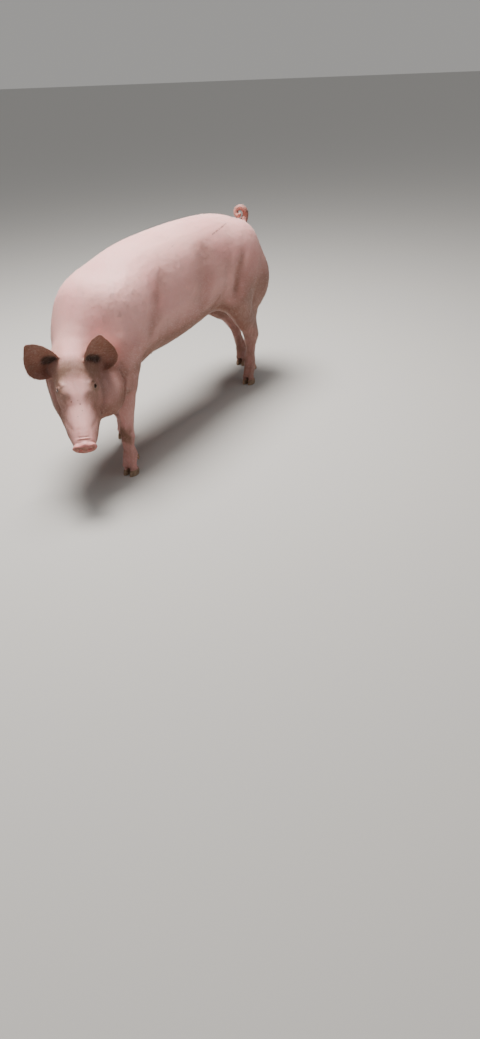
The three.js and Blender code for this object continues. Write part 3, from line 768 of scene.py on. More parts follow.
# %% Claws
def horn_piece(obj, voxel, rounds, rings):
    name = obj.name.removeprefix("copy_")
    modify(obj, "REMESH", mode="VOXEL", voxel_size=voxel)
    points, edges = points_of(obj), edges_of(obj)
    low, high = points[:, 2].min(), points[:, 2].max()
    points = relaxed(points, edges, 0.6, rounds, swell=-0.35)
    shrink = 1 - (0.3 if low < MM else 0) * ease(0.4, 1, (points[:, 2] - low) / (high - low))
    centre = points.mean(0)
    points[:, :2] = centre[:2] + (points[:, :2] - centre[:2]) * shrink[:, None]
    if low < MM:
        points[:, 2] = np.where(points[:, 2] < 1.6 * MM, 0.0, points[:, 2])
    put_points(obj, points)
    normals = normals_of(obj)
    level = (points[:, 2] - low) / (high - low)
    wave = np.sin(rings * 2 * np.pi * level**1.2 + 9 * points[:, 0] / MM / 60)
    steep = ease(0.05, 0.2, level) * (1 - ease(0.8, 0.98, level))
    put_points(obj, points + normals * (wave * steep * 0.22 * MM)[:, None])
    obj.name = "horn_" + name
    obj.data.shade_smooth()
    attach(obj, "root")
    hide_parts(name)
    return obj


horn = [horn_piece(obj, 1.3 * MM, 10, 7) for obj in horn_parts[:len(CLAWS)]]
horn += [horn_piece(obj, 0.9 * MM, 8, 5) for obj in horn_parts[len(CLAWS):]]
print("horn pieces:", len(horn), "with", sum(len(obj.data.polygons) for obj in horn), "faces")


# %% [markdown]
# ## Eyeballs
# Each eyeball is a sphere at the place and size of its solid, with a slight bulge for the cornea. It
# keeps its own directions as an attribute, so that the iris can be painted round the line of sight.

# %% Eyeballs
CORNEA = {"radius": 7.5, "bulge": 0.7}


def eyeball(side):
    out, inner, rise = eye_frames[side]
    gaze = (out + 0.12 * AHEAD - 0.04 * UPWARD).normalized()
    across = (inner - gaze * inner.dot(gaze)).normalized()
    bpy.ops.object.select_all(action="DESELECT")
    bpy.ops.mesh.primitive_uv_sphere_add(segments=64, ring_count=40, radius=EYE_RADIUS)
    ball = bpy.context.object
    ball.name = "eyeball_" + side
    local = points_of(ball)
    polar = np.hypot(local[:, 0], local[:, 1]) / MM
    swell = CORNEA["bulge"] * (1 - ease(0.3, 1.25, polar / CORNEA["radius"])) * (local[:, 2] > 0)
    look = ball.data.attributes.new("look", "FLOAT_VECTOR", "POINT")
    look.data.foreach_set("vector", (local / MM).ravel())
    local *= (1 + swell * MM / EYE_RADIUS)[:, None]
    turn = np.array([across, gaze.cross(across), gaze])
    put_points(ball, np.array(eye_centres[side]) + local @ turn)
    select_only(ball)
    bpy.ops.object.mode_set(mode="EDIT")
    bpy.ops.mesh.select_all(action="SELECT")
    bpy.ops.mesh.normals_make_consistent(inside=False)
    bpy.ops.object.mode_set(mode="OBJECT")
    ball.data.shade_smooth()
    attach(ball, "root")
    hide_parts("eye_" + side)
    return ball


eyeballs = [eyeball(side) for side in SIDES]
print("eyeballs of", round(2 * EYE_RADIUS / MM, 1), "mm")


# %% [markdown]
# ## Marks that skin and coat share
# The colour of a white pig isn't even. The snout and the rims of the ears are pinker, the lower
# legs and knees are soiled, tear stains lie at the eyes' inner corners, and the temples and ears
# are greyer. Shade is painted into the colour too, as a warmer, darker pink: under and on the sides
# of the head, under the belly, towards the bottom of the body and legs, on the rear of the thighs,
# on the inner side of the forelegs and on the snout's disc, and in the depths of folds, where some
# dirt gathers as well. A painted shadow of the ears lies across the forehead, painted shade lies
# round the eyes, and the ears' hollows are nearly black, painted shade with their dark hair. The
# tail is darker as a whole. Each mark is worked out once as a number at every point of the skin.
# The bristles take theirs from the spot where they are rooted, so that both always agree.

# %% Work out the marks
LIP_DROP = 108
EAR_FACE = {"left": (-0.23, 0.95, 0.19), "right": (0.52, 0.72, 0.44)}
EAR_HOLLOW = {"left": ((48, 16, 2), (76, 15, -18)), "right": ((-66, 6, -14), (-90, 4, -16))}


def round_spots(points, places, size):
    """Soft round spots, 1 in the middle of each, of a size in millimetres."""
    away = [np.linalg.norm(points - np.array(place), axis=1) / (size * MM) for place in places]
    return sum(np.exp(-(distance**2)) for distance in away)


def marks_of(points, normals, part):
    left, ahead, up = in_head(points).T
    # How far a point is sunk below its neighbours: painted shade in the depths of folds, with some dirt
    # that gathers there.
    sunk = ((relaxed(points, edges, 1.0, 2) - points) * normals).sum(1) / MM
    folds = ease(0.05, 0.4, sunk)
    x, y, z = points.T
    head, legs, ear, fore = part["head"], part["leg"], part["ear"], part["leg_front"]
    body = np.clip(part["trunk"] + part["neck"], 0, 1)
    snout = head * ease(215, 330, ahead)
    disc = head * ease(309, 314, ahead)
    # The disc's face looks forward and down with the lowered head: it gets painted shade, and soil as
    # well.
    flat = disc * ease(0.4, 0.9, normals @ np.array(AHEAD))
    lips = head * np.exp(-(((up + LIP_DROP) / 6) ** 2)) * ease(175, 215, ahead)
    lips *= normals @ np.array(UPWARD) < 0.5
    # Painted shade round each eye, darkest at the lids.
    eyes = round_spots(points, eye_centres.values(), 21)
    lids = round_spots(points, eye_centres.values(), 15.5)
    tears = round_spots(points, [on_head(38 * side, 142, -26) for side in SIDES.values()], 12)
    aside = np.abs(left)
    # A painted shadow of the ears across the forehead.
    brow = head * ease(2, 42, ahead) * ease(100, 55, ahead) * ease(-100, -40, up) * ease(95, 45, aside)
    temple = head * ease(18, 48, aside) * ease(210, 110, ahead) * ease(-110, -40, up)
    # Painted shade on the sides of the head, which the light from above reaches less.
    beside = head * ease(0.75, 0.1, normals[:, 2])
    # Painted shade: darker towards the bottom of the body and upper legs, fading a little down the
    # legs, on the lower rear of the body and the thighs, and under the belly.
    limb = ease(0.36, 0.22, z)
    low = (body + legs) * ease(0.60, 0.34, z) * (1 - 0.45 * limb)
    thigh = (body + legs) * ease(0.26, 0.44, y) * ease(0.68, 0.44, z) * (1 - 0.25 * limb)
    under = body * ease(0.1, 0.9, -normals[:, 2])
    feet = legs * (1 - ease(0.04, 0.30, z))
    front = ease(0.2, -0.6, normals[:, 1])
    knees = fore * front * np.exp(-(((z - 0.152) / 0.028) ** 2))
    # Painted shade on the front of the inner side of each foreleg, above the knee.
    shin = fore * front * ease(0.15, 0.18, z) * ease(0.3, -0.3, normals[:, 0] * np.sign(x))
    inner, hollow = np.zeros(len(points)), np.zeros(len(points))
    for side, sign in SIDES.items():
        of_side = ear * (left * sign > 0)
        facing = normals @ np.array(head_axes @ Vector(EAR_FACE[side]))
        inner += of_side * ease(-0.45, 0.15, facing)
        # The hollow of each ear is painted near black: painted shade, partly its dark hair.
        deep = 0.9 * round_spots(points, [on_head(*spot) for spot in EAR_HOLLOW[side]], 19)
        hollow += deep * ease(0.0, 0.3, facing) * (ear + head).clip(0, 1)
    marks = {
        "flush": 0.40 * snout + 0.65 * disc + 0.2 * part["tail"] + 0.3 * ear,
        # Painted shade under the belly, towards the bottom, on the rear of the thighs, in folds, under
        # and on the sides of the head and on the disc. The tail is darker as a whole.
        "shade": 0.9 * under + 0.75 * low + 0.5 * thigh + 0.9 * part["tail"] + 0.8 * folds
        + 0.7 * head * ease(65, 105, -up) + 0.6 * beside + 0.3 * disc + 0.9 * flat,
        # A painted shadow on the brow and painted shade round the eyes, with tear stains and greyer
        # temples and ears.
        "grey": 1.0 * brow + 0.55 * temple + 0.5 * eyes + 0.8 * lids + 0.65 * tears + 0.3 * ear,
        # Soil on the feet, knees and lips, and painted shade on the inner forelegs and the disc's face.
        "soil_and_shade": 0.34 * feet + 0.7 * knees + 0.40 * shin + 0.6 * flat + 0.35 * lips,
        "inner": 0.9 * inner,
        # Painted shade in the ears' hollows, partly dark hair.
        "hollow": hollow,
        "leg": legs,
    }
    return {name: np.clip(value, 0, 1) for name, value in marks.items()}


def keep_marks(obj, marks):
    for name, value in marks.items():
        kept = obj.data.attributes.new(name, "FLOAT", "POINT")
        kept.data.foreach_set("value", value.astype(np.float32))


points, normals, edges = points_of(skin), normals_of(skin), edges_of(skin)
part = membership(points, edges, 9)
marks = {
    name: relaxed(value, edges, 0.6, 2 if name in ("hollow", "inner") else 7)
    for name, value in marks_of(points, normals, part).items()
}
keep_marks(skin, marks)
print("marks:", {name: round(float(value.mean()), 3) for name, value in marks.items()})


# %% [markdown]
# ## A kit for finishes
# A finish is made of shader nodes. The small class below wraps a node's output, so that numbers can
# be added and multiplied as in plain Python, and each sum adds its Math node. Colours are mixed
# through Mix nodes. Any other node comes from one method: its type, its settings, then its inputs.

# %% Finish kit
class Amount:
    """A number that varies over a surface."""

    def __init__(self, finish, socket):
        self.finish, self.socket = finish, socket

    def math(self, operation, first, second=0.0):
        return self.finish.node("ShaderNodeMath", {"operation": operation}, {0: first, 1: second})

    def __add__(self, other):
        return self.math("ADD", self, other)

    def __sub__(self, other):
        return self.math("SUBTRACT", self, other)

    def __rsub__(self, other):
        return self.math("SUBTRACT", other, self)

    def __mul__(self, other):
        return self.math("MULTIPLY", self, other)

    __radd__, __rmul__ = __add__, __mul__

    def between(self, low, high):
        """0 where this is low or less, 1 where it is high or more."""
        settings = {"interpolation_type": "SMOOTHSTEP"}
        inputs = {"Value": self, "From Min": low, "From Max": high}
        return self.finish.node("ShaderNodeMapRange", settings, inputs)


class Finish:
    """A material, the nodes in it, and the finish of its shader."""

    def __init__(self, name, **constants):
        self.material = bpy.data.materials.new(name)
        self.material.use_nodes = True
        self.tree = self.material.node_tree
        self.shader = self.tree.nodes["Principled BSDF"]
        for socket, value in constants.items():
            self.shader.inputs[socket.replace("_", " ")].default_value = value
        place = self.node("ShaderNodeTexCoord", {}, {}, "Object")
        self.place = self.node("ShaderNodeMapping", {}, {"Vector": place, "Scale": (1000, 1000, 1000)})

    def node(self, kind, settings, inputs, output=None):
        node = self.tree.nodes.new(kind)
        for key, value in settings.items():
            setattr(node, key, value)
        for key, value in inputs.items():
            if isinstance(value, Amount):
                self.tree.links.new(value.socket, node.inputs[key])
            else:
                node.inputs[key].default_value = value
        found = [s for s in node.outputs if s.enabled and s.name == output] if output else node.outputs
        return Amount(self, found[0])

    def mark(self, name, output="Fac"):
        return self.node("ShaderNodeAttribute", {"attribute_name": name}, {}, output)

    def moved(self, scale, place=None):
        return self.node("ShaderNodeMapping", {}, {"Vector": place or self.place, "Scale": scale})

    def noise(self, size, detail, place=None):
        """Noise about 0.5, with blotches of about the size given in millimetres."""
        inputs = {"Vector": place or self.place, "Scale": 1 / size, "Detail": detail}
        return self.node("ShaderNodeTexNoise", {}, inputs, "Fac")

    def vector(self, operation, first, second=None, scale=None, output="Vector"):
        inputs = {0: first}
        if second is not None:
            inputs[1] = second
        if scale is not None:
            inputs["Scale"] = scale
        return self.node("ShaderNodeVectorMath", {"operation": operation}, inputs, output)

    def cells(self, size, place=None, feature="F1"):
        inputs = {"Vector": place or self.place, "Scale": 1 / size}
        return self.node("ShaderNodeTexVoronoi", {"feature": feature}, inputs, "Distance")

    def mixed(self, amount, under, over):
        settings = {"data_type": "RGBA"}
        node = self.node("ShaderNodeMix", settings, {"Factor": amount}, "Result").socket.node
        for socket, colour in ((6, under), (7, over)):
            if isinstance(colour, Amount):
                self.tree.links.new(colour.socket, node.inputs[socket])
            else:
                node.inputs[socket].default_value = (*colour, 1)
        return Amount(self, node.outputs[2])

    def bump(self, height, distance, strength):
        inputs = {"Height": height, "Distance": distance * MM, "Strength": strength}
        return self.node("ShaderNodeBump", {}, inputs)

    def feed(self, **sockets):
        for socket, value in sockets.items():
            self.tree.links.new(value.socket, self.shader.inputs[socket.replace("_", " ")])

    def give(self, *objects):
        for obj in objects:
            obj.data.materials.clear()
            obj.data.materials.append(self.material)
        print(self.material.name, "finish:", len(self.tree.nodes), "nodes on", len(objects), "pieces")


# %% [markdown]
# ## Skin colour
# The base is a pale pink, made uneven by broad blotches, as blood shows through in some places more
# than in others. The shared marks then mix in painted warm shade below, on the sides of the head and
# in folds; grey with a painted shadow on the brow and painted shade round the eyes; the pink of the
# snout; painted shade in the ears' hollows, partly dark hair; and the brown of dried mud, which also
# paints shade on the inner forelegs and the disc's face. MIXES says how much of a mark is even and
# how much comes and goes with blotches. Thin scratches lie over the back and dots on the forehead,
# each drawn by its distance from a short line. Skin and bristles call the same function.

# %% Colours of the pig
TINTS = {
    "pink": (0.90, 0.47, 0.43),
    "rosy": (0.84, 0.38, 0.36),
    "flush": (0.68, 0.26, 0.24),
    # The warm dark colour of painted shade.
    "shade": (0.28, 0.125, 0.088),
    # The grey of stains, also used for the painted shadow on the brow and the painted shade round the
    # eyes.
    "grey": (0.30, 0.17, 0.12),
    "inner": (0.24, 0.105, 0.06),
    # Painted shade in the ears' hollows, partly dark hair.
    "hollow": (0.055, 0.026, 0.018),
    # Dried mud, also used for the painted shade on the inner forelegs and the disc's face.
    "soil_and_shade": (0.15, 0.083, 0.045),
    "scab": (0.16, 0.055, 0.035),
    "bristle": (0.93, 0.72, 0.64),
}
MIXES = {"shade": (0.75, 0.5), "grey": (0.55, 0.7), "flush": (0.6, 0.6), "inner": (0.7, 0.5)}
SCRATCHES = [
    ((131, 251, 705), (114, 403, 719), 2.6),
    ((139, 268, 702), (126, 335, 711), 1.8),
    ((120, -40, 712), (112, 10, 718), 1.6),
]
SPOTS = [
    ((-24, 161, -29), 2.6), ((4, 173, -28), 2.4), ((-2, 160, -26), 1.6), ((8, 196, -32), 1.5),
    ((-9, 214, -34), 1.4),
]


def from_line(finish, start, end):
    """Distance in millimetres from the stretch between two places."""
    start, stretch = Vector(start), Vector(end) - Vector(start)
    away = finish.vector("SUBTRACT", finish.place, start)
    along = finish.vector("DOT_PRODUCT", away, stretch * (1 / stretch.length_squared), output="Value")
    along = along.math("MINIMUM", along.math("MAXIMUM", along, 0.0), 1.0)
    nearest = finish.vector("SCALE", stretch, scale=along)
    return finish.vector("LENGTH", finish.vector("SUBTRACT", away, nearest), output="Value")


def pig_colour(finish):
    broad, middling, fine = finish.noise(170, 1), finish.noise(38, 3), finish.noise(7, 4)
    colour = finish.mixed(broad.between(0.35, 0.72) * 0.7, TINTS["pink"], TINTS["rosy"])
    # The shade mark mixes in painted shade; grey mixes in a painted shadow on the brow and painted
    # shade round the eyes.
    for name, (even, uneven) in MIXES.items():
        amount = finish.mark(name) * (even + uneven * middling)
        colour = finish.mixed(amount, colour, TINTS[name])
    # Painted shade in the ears' hollows, partly dark hair.
    colour = finish.mixed(finish.mark("hollow").between(0.1, 0.75), colour, TINTS["hollow"])
    # Soil, with painted shade on the inner forelegs and the disc's face.
    patchy = (finish.mark("soil_and_shade") * (0.2 + 1.5 * middling)).between(0.14, 0.8)
    stain = (finish.noise(60, 4) - 0.6).between(0.0, 0.14) * 0.16
    colour = finish.mixed(stain, colour, TINTS["grey"])
    colour = finish.mixed(patchy * (0.55 + 0.5 * fine), colour, TINTS["soil_and_shade"])
    broken = finish.noise(9, 3).between(0.38, 0.6)
    scabs = 0.0
    for start, end, width in SCRATCHES:
        away = from_line(finish, start, end)
        scabs = (1 - away.between(width * 0.5, width * 2.2)) * broken * 0.7 + scabs
    for (left, ahead, up), size in SPOTS:
        place = on_head(left, ahead, up) / MM
        away = from_line(finish, place, place + Vector((0.5, 0, 0)))
        scabs = (1 - away.between(size * 0.5, size * 1.6)) * 0.8 + scabs
    return finish.mixed(scabs, colour, TINTS["scab"]), patchy, fine


# %% [markdown]
# ## The skin's finish
# Light goes a little way into skin. Its surface has fine creases, pores, soft lumps and the strokes
# of hair lying along the body or down the legs. It is duller where it is soiled, and also where
# shade is painted on the inner forelegs and the face of the disc.

# %% Skin finish
skin_finish = Finish("skin", Subsurface_Weight=0.12, Subsurface_Scale=0.006, Specular_IOR_Level=0.4)
skin_finish.shader.inputs["Subsurface Radius"].default_value = (1.0, 0.35, 0.2)
colour, soil_and_shade, fine = pig_colour(skin_finish)
leg = skin_finish.mark("leg")
hair_along = skin_finish.noise(0.8, 2, skin_finish.moved((1, 0.07, 1)))
hair_down = skin_finish.noise(0.8, 2, skin_finish.moved((1, 1, 0.07)))
hair = leg * hair_down + (1 - leg) * hair_along
inputs = {"Vector": skin_finish.place, "Scale": 0.2, "Detail": 2.0}
warp = skin_finish.node("ShaderNodeTexNoise", {}, inputs, "Color")
warped = skin_finish.vector("ADD", skin_finish.place, warp)
creased = skin_finish.cells(2.4, skin_finish.moved((1, 0.6, 1), place=warped), "DISTANCE_TO_EDGE")
pores = skin_finish.cells(1.5)
lumps = skin_finish.noise(14, 4)
relief = 0.16 * creased.between(0.0, 0.2) + 0.3 * hair + 0.15 * pores + 1.1 * lumps
skin_finish.feed(
    Base_Color=colour,
    Roughness=0.47 + 0.2 * fine + 0.22 * soil_and_shade,
    Normal=skin_finish.bump(relief, 0.6, 0.8),
)
skin_finish.give(skin)

# %% [markdown]
# ## The horn's finish
# A claw is brown-grey horn with rings round it, pale streaks down it and patches of dried dirt.

# %% Horn finish
horn_finish = Finish("horn", Specular_IOR_Level=0.35)
rings = horn_finish.noise(2.2, 2, horn_finish.moved((0.12, 0.12, 1)))
streaks = horn_finish.noise(2.0, 3, horn_finish.moved((1, 1, 0.1)))
dirt = horn_finish.noise(9, 4)
colour = horn_finish.mixed(rings, (0.25, 0.14, 0.085), (0.44, 0.29, 0.19))
colour = horn_finish.mixed(streaks * 0.5, colour, (0.50, 0.36, 0.25))
colour = horn_finish.mixed(dirt.between(0.42, 0.7) * 0.6, colour, (0.11, 0.065, 0.035))
horn_finish.feed(
    Base_Color=colour,
    Roughness=0.5 + 0.3 * dirt,
    Normal=horn_finish.bump(0.7 * rings + 0.5 * streaks, 0.3, 0.8),
)
horn_finish.give(*horn)

# %% [markdown]
# ## The eyes' finish
# An eye has a dark iris with fine rays and a long, level pupil, a darker ring round the iris and a
# brownish white beyond, all under a clear wet coat. Distances are from the line of sight.

# %% Eye finish
eye_finish = Finish("eye", Roughness=0.12, Coat_Roughness=0.03, Specular_IOR_Level=0.3)
eye_finish.shader.inputs["Coat Weight"].default_value = 0.5
look = eye_finish.mark("look", "Vector")
flat = eye_finish.moved((1, 1, 0), place=look)
from_axis = eye_finish.vector("LENGTH", flat, output="Value")
pupil_shape = eye_finish.moved((0.62, 1, 0), place=look)
from_slit = eye_finish.vector("LENGTH", pupil_shape, output="Value")
rays = eye_finish.noise(0.7, 3, look)
colour = eye_finish.mixed(rays, (0.020, 0.009, 0.005), (0.060, 0.028, 0.013))
colour = eye_finish.mixed(from_axis.between(5.6, 7.0), colour, (0.012, 0.008, 0.006))
colour = eye_finish.mixed(from_axis.between(7.2, 8.2), colour, (0.36, 0.22, 0.17))
colour = eye_finish.mixed(1 - from_slit.between(2.3, 2.7), colour, (0.003, 0.003, 0.003))
eye_finish.feed(Base_Color=colour)
eye_finish.give(*eyeballs)

# %% [markdown]
# ## The coat
# A pig's coat is sparse: stiff pale bristles, in small groups, lying back along the body and down
# the legs. Each group here is a tuft of three solid bristles, thin three-sided spikes that bend
# down towards the skin. Lengths and widths are in millimetres; lift is the rise of a bristle as a
# share of its length.

# %% How the coat lies
TUFTS = 40000
COAT = {
    "trunk": {"length": 12, "density": 1.0, "lift": 0.15, "width": 0.28},
    "neck": {"length": 13, "density": 1.1, "lift": 0.16, "width": 0.28},
    "head": {"length": 7, "density": 2.0, "lift": 0.15, "width": 0.30},
    "ear": {"length": 7, "density": 2.0, "lift": 0.18, "width": 0.26},
    "tail": {"length": 9, "density": 1.6, "lift": 0.18, "width": 0.30},
    "leg": {"length": 9, "density": 1.5, "lift": 0.15, "width": 0.28},
}


def unit_rows(rows):
    return rows / np.maximum(np.linalg.norm(rows, axis=1), 1e-9)[:, None]


def lie_of_coat(points, normals, part):
    """The way in which the bristles lie at each point, along the skin."""
    fall = 0.12 + 0.45 * normals[:, 0] ** 2 + 1.6 * ease(0.46, 0.32, points[:, 2])
    body = np.array((0, 1, 0)) - np.outer(fall, (0, 0, 1))
    leg = np.tile((0, 0.25, -1.0), (len(points), 1))
    head = np.tile(np.array(-AHEAD + 0.1 * UPWARD), (len(points), 1))
    ear = unit_rows(points - np.array(poll)) + np.array(UPWARD) * 0.4
    tail = np.tile((0, 1, 0.2), (len(points), 1))
    sway = np.sin(points @ np.array([[21, 9, 4], [8, 17, 23], [14, -19, 11]])) * 0.10
    ways = (("trunk", body), ("neck", body), ("leg", leg), ("head", head), ("ear", ear), ("tail", tail))
    lie = sum(part[name][:, None] * way for name, way in ways) + sway
    return unit_rows(lie - normals * (lie * normals).sum(1)[:, None])


# %% [markdown]
# ## Roots
# Roots are scattered over the skin by area with a fixed seed, more closely where the coat is fine
# and short. The snout's disc, the lips, the lids and the skin under and close to the horn stay bare,
# and the ears' hollows nearly so.

# %% Where the bristles are rooted
SEED = 41
BARE = {"over_horn": 1.5, "beside_horn": 3.5, "rim": 8, "sole": -5}
randoms = np.random.default_rng(SEED)
triangles = np.array([face.vertices for face in skin.data.polygons])
corner = points[triangles]
size = np.linalg.norm(np.cross(corner[:, 1] - corner[:, 0], corner[:, 2] - corner[:, 0]), axis=1) / 2
dense = sum(part[name] * spec["density"] for name, spec in COAT.items())
left, ahead, up = in_head(points).T
bare = ease(303, 312, ahead) * part["head"] + round_spots(points, eye_centres.values(), 14)
bare += np.exp(-(((up + LIP_DROP) / 5) ** 2)) * part["head"] * ease(165, 185, ahead)
corners, faces = [], []
for obj in horn:
    faces += [[v + len(corners) for v in face.vertices] for face in obj.data.polygons]
    corners += points_of(obj).tolist()
horn_tree = BVHTree.FromPolygons(corners, faces)
low = np.flatnonzero(points[:, 2] < claw_top + 60 * MM)
near_horn = np.array([horn_tree.find_nearest(p)[3] for p in points[low].tolist()]) / MM
above = (points[low, 2] - claw_top) / MM
reach = np.where(above < BARE["rim"], BARE["over_horn"], BARE["beside_horn"])
bare[low] += (near_horn < reach) | (above < BARE["sole"])
dense = dense * np.clip(1 - bare - 0.6 * marks["hollow"], 0, 1)
weight = size * dense[triangles].mean(1)
chosen = np.sort(randoms.choice(len(triangles), TUFTS, p=weight / weight.sum()))
spread = randoms.random((TUFTS, 2))
spread = np.where(spread.sum(1)[:, None] > 1, 1 - spread, spread)
share = np.column_stack([1 - spread.sum(1), spread])


def at_roots(values):
    picked = values[triangles[chosen]]
    return (picked * (share[:, :, None] if values.ndim > 1 else share)).sum(1)


root = at_roots(points)
root_normal = unit_rows(at_roots(normals))
root_part = {name: at_roots(value) for name, value in part.items()}
root_marks = {name: at_roots(value) for name, value in marks.items()}
lie = lie_of_coat(root, root_normal, root_part)
print("rooted", TUFTS, "tufts on", round(float(size.sum()), 2), "square metres of skin")

# %% [markdown]
# ## A flat pattern for the coat
# Each coat piece gets a UV map named OFBake, by which its colours can be kept in a picture. A
# light copy of the skin is unwrapped with Smart Project, and each tuft gets a small square patch at
# its root's place on that unwrap, so that neighbours on the pig are neighbours in the picture.

# %% Unwrap a light copy of the skin
PATCH = 0.003
light_skin = bpy.data.objects.new("light_skin", skin.data.copy())
bpy.context.scene.collection.objects.link(light_skin)
modify(light_skin, "DECIMATE", ratio=0.05)
bpy.ops.object.mode_set(mode="EDIT")
bpy.ops.mesh.select_all(action="SELECT")
bpy.ops.uv.smart_project(angle_limit=math.radians(70), island_margin=0.004)
bpy.ops.object.mode_set(mode="OBJECT")
flat_faces = np.array([face.vertices for face in light_skin.data.polygons])
flat = np.empty(len(light_skin.data.loops) * 2)
light_skin.data.uv_layers.active.data.foreach_get("uv", flat)
flat = flat.reshape(-1, 3, 2)
light_points = points_of(light_skin)
light_tree = BVHTree.FromPolygons(light_points.tolist(), flat_faces.tolist())
bpy.data.objects.remove(light_skin)


def on_unwrap(roots):
    """Where each root falls on the unwrap, from its place within the nearest face."""
    found = [light_tree.find_nearest(p) for p in roots.tolist()]
    faces = np.array([hit[2] for hit in found])
    a, b, c = np.moveaxis(light_points[flat_faces[faces]], 1, 0)
    spot = np.array([list(hit[0]) for hit in found]) - a
    ab, ac = b - a, c - a
    pairs = ((ab, ab), (ab, ac), (ac, ac), (spot, ab), (spot, ac))
    bb, bc, cc, sb, sc = [(p * q).sum(1) for p, q in pairs]
    area = np.maximum(bb * cc - bc**2, 1e-20)
    second, third = np.clip([(cc * sb - bc * sc) / area, (bb * sc - bc * sb) / area], 0, 1)
    weights = np.stack([1 - second - third, second, third], 1)
    return (flat[faces] * weights[:, :, None]).sum(1)


print("unwrapped on", len(flat_faces), "faces")


# %% [markdown]
# ## Growing the tufts
# A bristle has a base of three points sunk in the skin, three more half way and one at its tip. The
# same seven points are worked out for all bristles at once. Each takes its shading normals from the
# skin at its root, so that the coat is lit as one surface and not as thousands of small ones.

# %% Grow one piece of the coat
STRANDS = 3
patch_at = on_unwrap(root)
UV_CORNERS = ((0, 0), (1, 0), (0.5, 0.2), (0.2, 0.6), (0.8, 0.6), (0.5, 0.7), (0.5, 1))
SPIKE = np.array([
    (0, 1, 2), (0, 4, 1), (0, 3, 4), (1, 5, 2), (1, 4, 5), (2, 3, 0), (2, 5, 3), (3, 6, 4),
    (4, 6, 5), (5, 6, 3),
])


def mesh_piece(name, points, triangles):
    mesh = bpy.data.meshes.new(name)
    mesh.vertices.add(len(points))
    mesh.vertices.foreach_set("co", points.ravel())
    mesh.loops.add(triangles.size)
    mesh.loops.foreach_set("vertex_index", triangles.ravel())
    mesh.polygons.add(len(triangles))
    mesh.polygons.foreach_set("loop_start", np.arange(0, triangles.size, 3))
    mesh.update(calc_edges=True)
    mesh.validate()
    piece = bpy.data.objects.new(name, mesh)
    bpy.context.scene.collection.objects.link(piece)
    return piece


def spikes(name, base, up_way, way, length, lift, width, patch, piece_marks):
    """One mesh of bristles, each given by its root, the way it lies and its size in millimetres."""
    side = np.cross(up_way, way)

    def spot(along, rise):
        ahead, above = along * length * MM, rise * length * lift * MM
        return base + way * ahead[:, None] + up_way * above[:, None]

    def ring(along, rise, share):
        centre, half = spot(along, rise), (share * width * MM / 2)[:, None]
        return [centre + side * half, centre - side * half, centre + up_way * half * 1.2]

    rows = np.stack(ring(0.0, 0.0, 1.0) + ring(0.5, 0.75, 0.75) + [spot(1.0, 1.0)], 1)
    triangles = (SPIKE[None] + 7 * np.arange(len(base))[:, None, None]).reshape(-1, 3)
    piece = mesh_piece(name, rows.reshape(-1, 3), triangles)
    corner = np.array(UV_CORNERS) - 0.5
    places = (patch[:, None] + corner[None] * PATCH).reshape(-1, 2)
    piece.data.uv_layers.new(name="OFBake").data.foreach_set("uv", places[triangles.ravel()].ravel())
    keep_marks(piece, {mark: np.repeat(value, 7) for mark, value in piece_marks.items()})
    piece.data.normals_split_custom_set_from_vertices(np.repeat(up_way, 7, axis=0).tolist())
    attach(piece, "root")
    return piece


def grow(name, mine):
    """The tufts whose roots are chosen, as one piece."""
    def each(values):
        return np.repeat(values[mine], STRANDS, axis=0)

    up_way, way = each(root_normal), each(lie)
    count = len(way)
    way = unit_rows(way + randoms.normal(0, 0.2, count)[:, None] * np.cross(up_way, way))
    side = np.cross(up_way, way)
    length, lift, width = (
        each(sum(root_part[group] * spec[key] for group, spec in COAT.items()))
        for key in ("length", "lift", "width")
    )
    length = length * randoms.uniform(0.6, 1.2, count) * (1 + 0.6 * each(root_marks["inner"]))
    lift = lift * randoms.uniform(0.6, 1.3, count)
    aside, ahead = randoms.normal(0, 1.7, count)[:, None], randoms.normal(0, 2.4, count)[:, None]
    base = each(root) + (side * aside + way * ahead - 0.4 * up_way) * MM
    piece_marks = {mark: each(value) for mark, value in root_marks.items()}
    return spikes(name, base, up_way, way, length, lift, width, each(patch_at), piece_marks)


# %% [markdown]
# ## The pieces of the coat
# The coat is split by region, side and stretch along the body, so that no piece is too heavy.

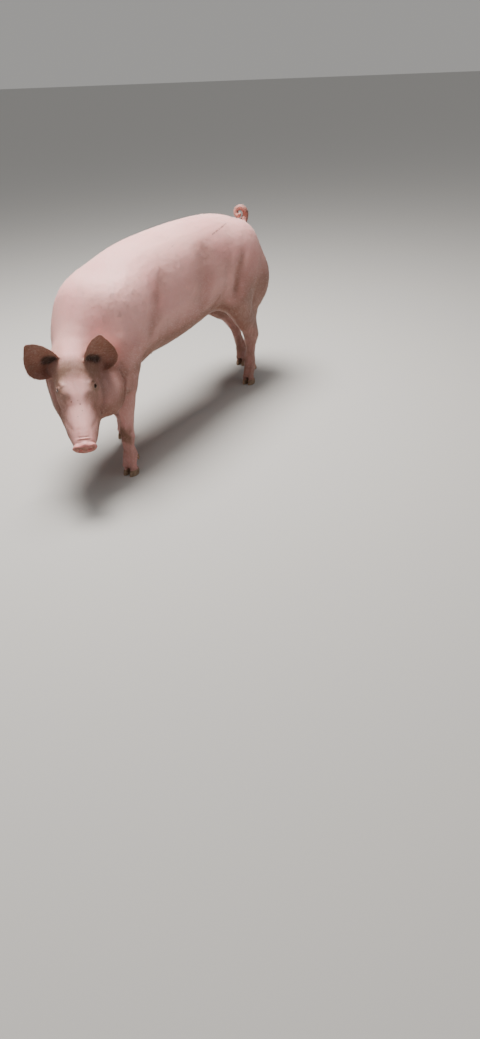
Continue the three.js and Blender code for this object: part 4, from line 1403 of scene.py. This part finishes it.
# %% Split the coat into pieces and grow them
STRETCHES = {"fore": (-1, -0.06), "middle": (-0.06, 0.3), "hind": (0.3, 1)}
main_part = np.argmax([root_part[name] for name in COAT], axis=0)
groups = list(COAT)
coat = []
for index, name in enumerate(groups):
    mine = main_part == index
    for side, of_side in (("left", root[:, 0] >= 0), ("right", root[:, 0] < 0)):
        for stretch, (start, end) in STRETCHES.items():
            picked = mine & of_side & (root[:, 1] >= start) & (root[:, 1] < end)
            if picked.any():
                coat.append(grow(f"coat_{name}_{side}_{stretch}", picked))
print("coat pieces:", {piece.name: len(piece.data.polygons) for piece in coat})

# %% [markdown]
# ## Lashes
# Pale lashes stand in a row along each upper lid, spread out like a fan, and droop a little.

# %% Lashes
LASHES = {"count": 15, "above_lid": 0.7, "sunk": 0.5}
lash = [[] for _ in range(3)]
for side, (out, inner, rise) in eye_frames.items():
    for t in np.linspace(-0.8, 0.8, LASHES["count"]):
        x, z = LID["half"] * t, LID["above"] * (1 - t * t) + LASHES["above_lid"]
        y = math.sqrt((ball + LID["thick"]) ** 2 - x * x - z * z) - LASHES["sunk"]
        lash[0].append(eye_centres[side] + (inner * x + rise * z + out * y) * MM)
        lash[1].append((rise + out * 0.3).normalized())
        lash[2].append((out * 0.8 + rise * 0.25 + inner * 0.5 * t).normalized())
lash_root, lash_up, lash_way = (np.array(rows) for rows in lash)
lash_up = unit_rows(lash_up - lash_way * (lash_up * lash_way).sum(1)[:, None])
count = len(lash_root)
lashes = spikes(
    "coat_lashes", lash_root, lash_up, unit_rows(lash_way + randoms.normal(0, 0.12, (count, 3))),
    randoms.uniform(5, 9, count), np.full(count, 0.2), np.full(count, 0.22), on_unwrap(lash_root), {},
)
coat.append(lashes)
print("lashes:", count)

# %% [markdown]
# ## The bristles' finish
# Bristles have the skin's colour at their roots, painted shade included, mixed with a pale cream,
# less where it is soiled and where shade is painted on the inner forelegs and the disc's face.

# %% Bristle finish
bristle_finish = Finish("bristle", Specular_IOR_Level=0.5)
colour, soil_and_shade, fine = pig_colour(bristle_finish)
colour = bristle_finish.mixed(0.38 - 0.3 * soil_and_shade, colour, TINTS["bristle"])
bristle_finish.feed(Base_Color=colour, Roughness=0.38 + 0.2 * fine + 0.2 * soil_and_shade)
bristle_finish.give(*coat)

# %% [markdown]
# ## The skin in the model
# The skin moves with the root and stands in for all the solids of flesh.

# %% Place the skin
bpy.ops.object.select_all(action="DESELECT")
skin.data.shade_smooth()
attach(skin, "root")
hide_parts(*FLESH)
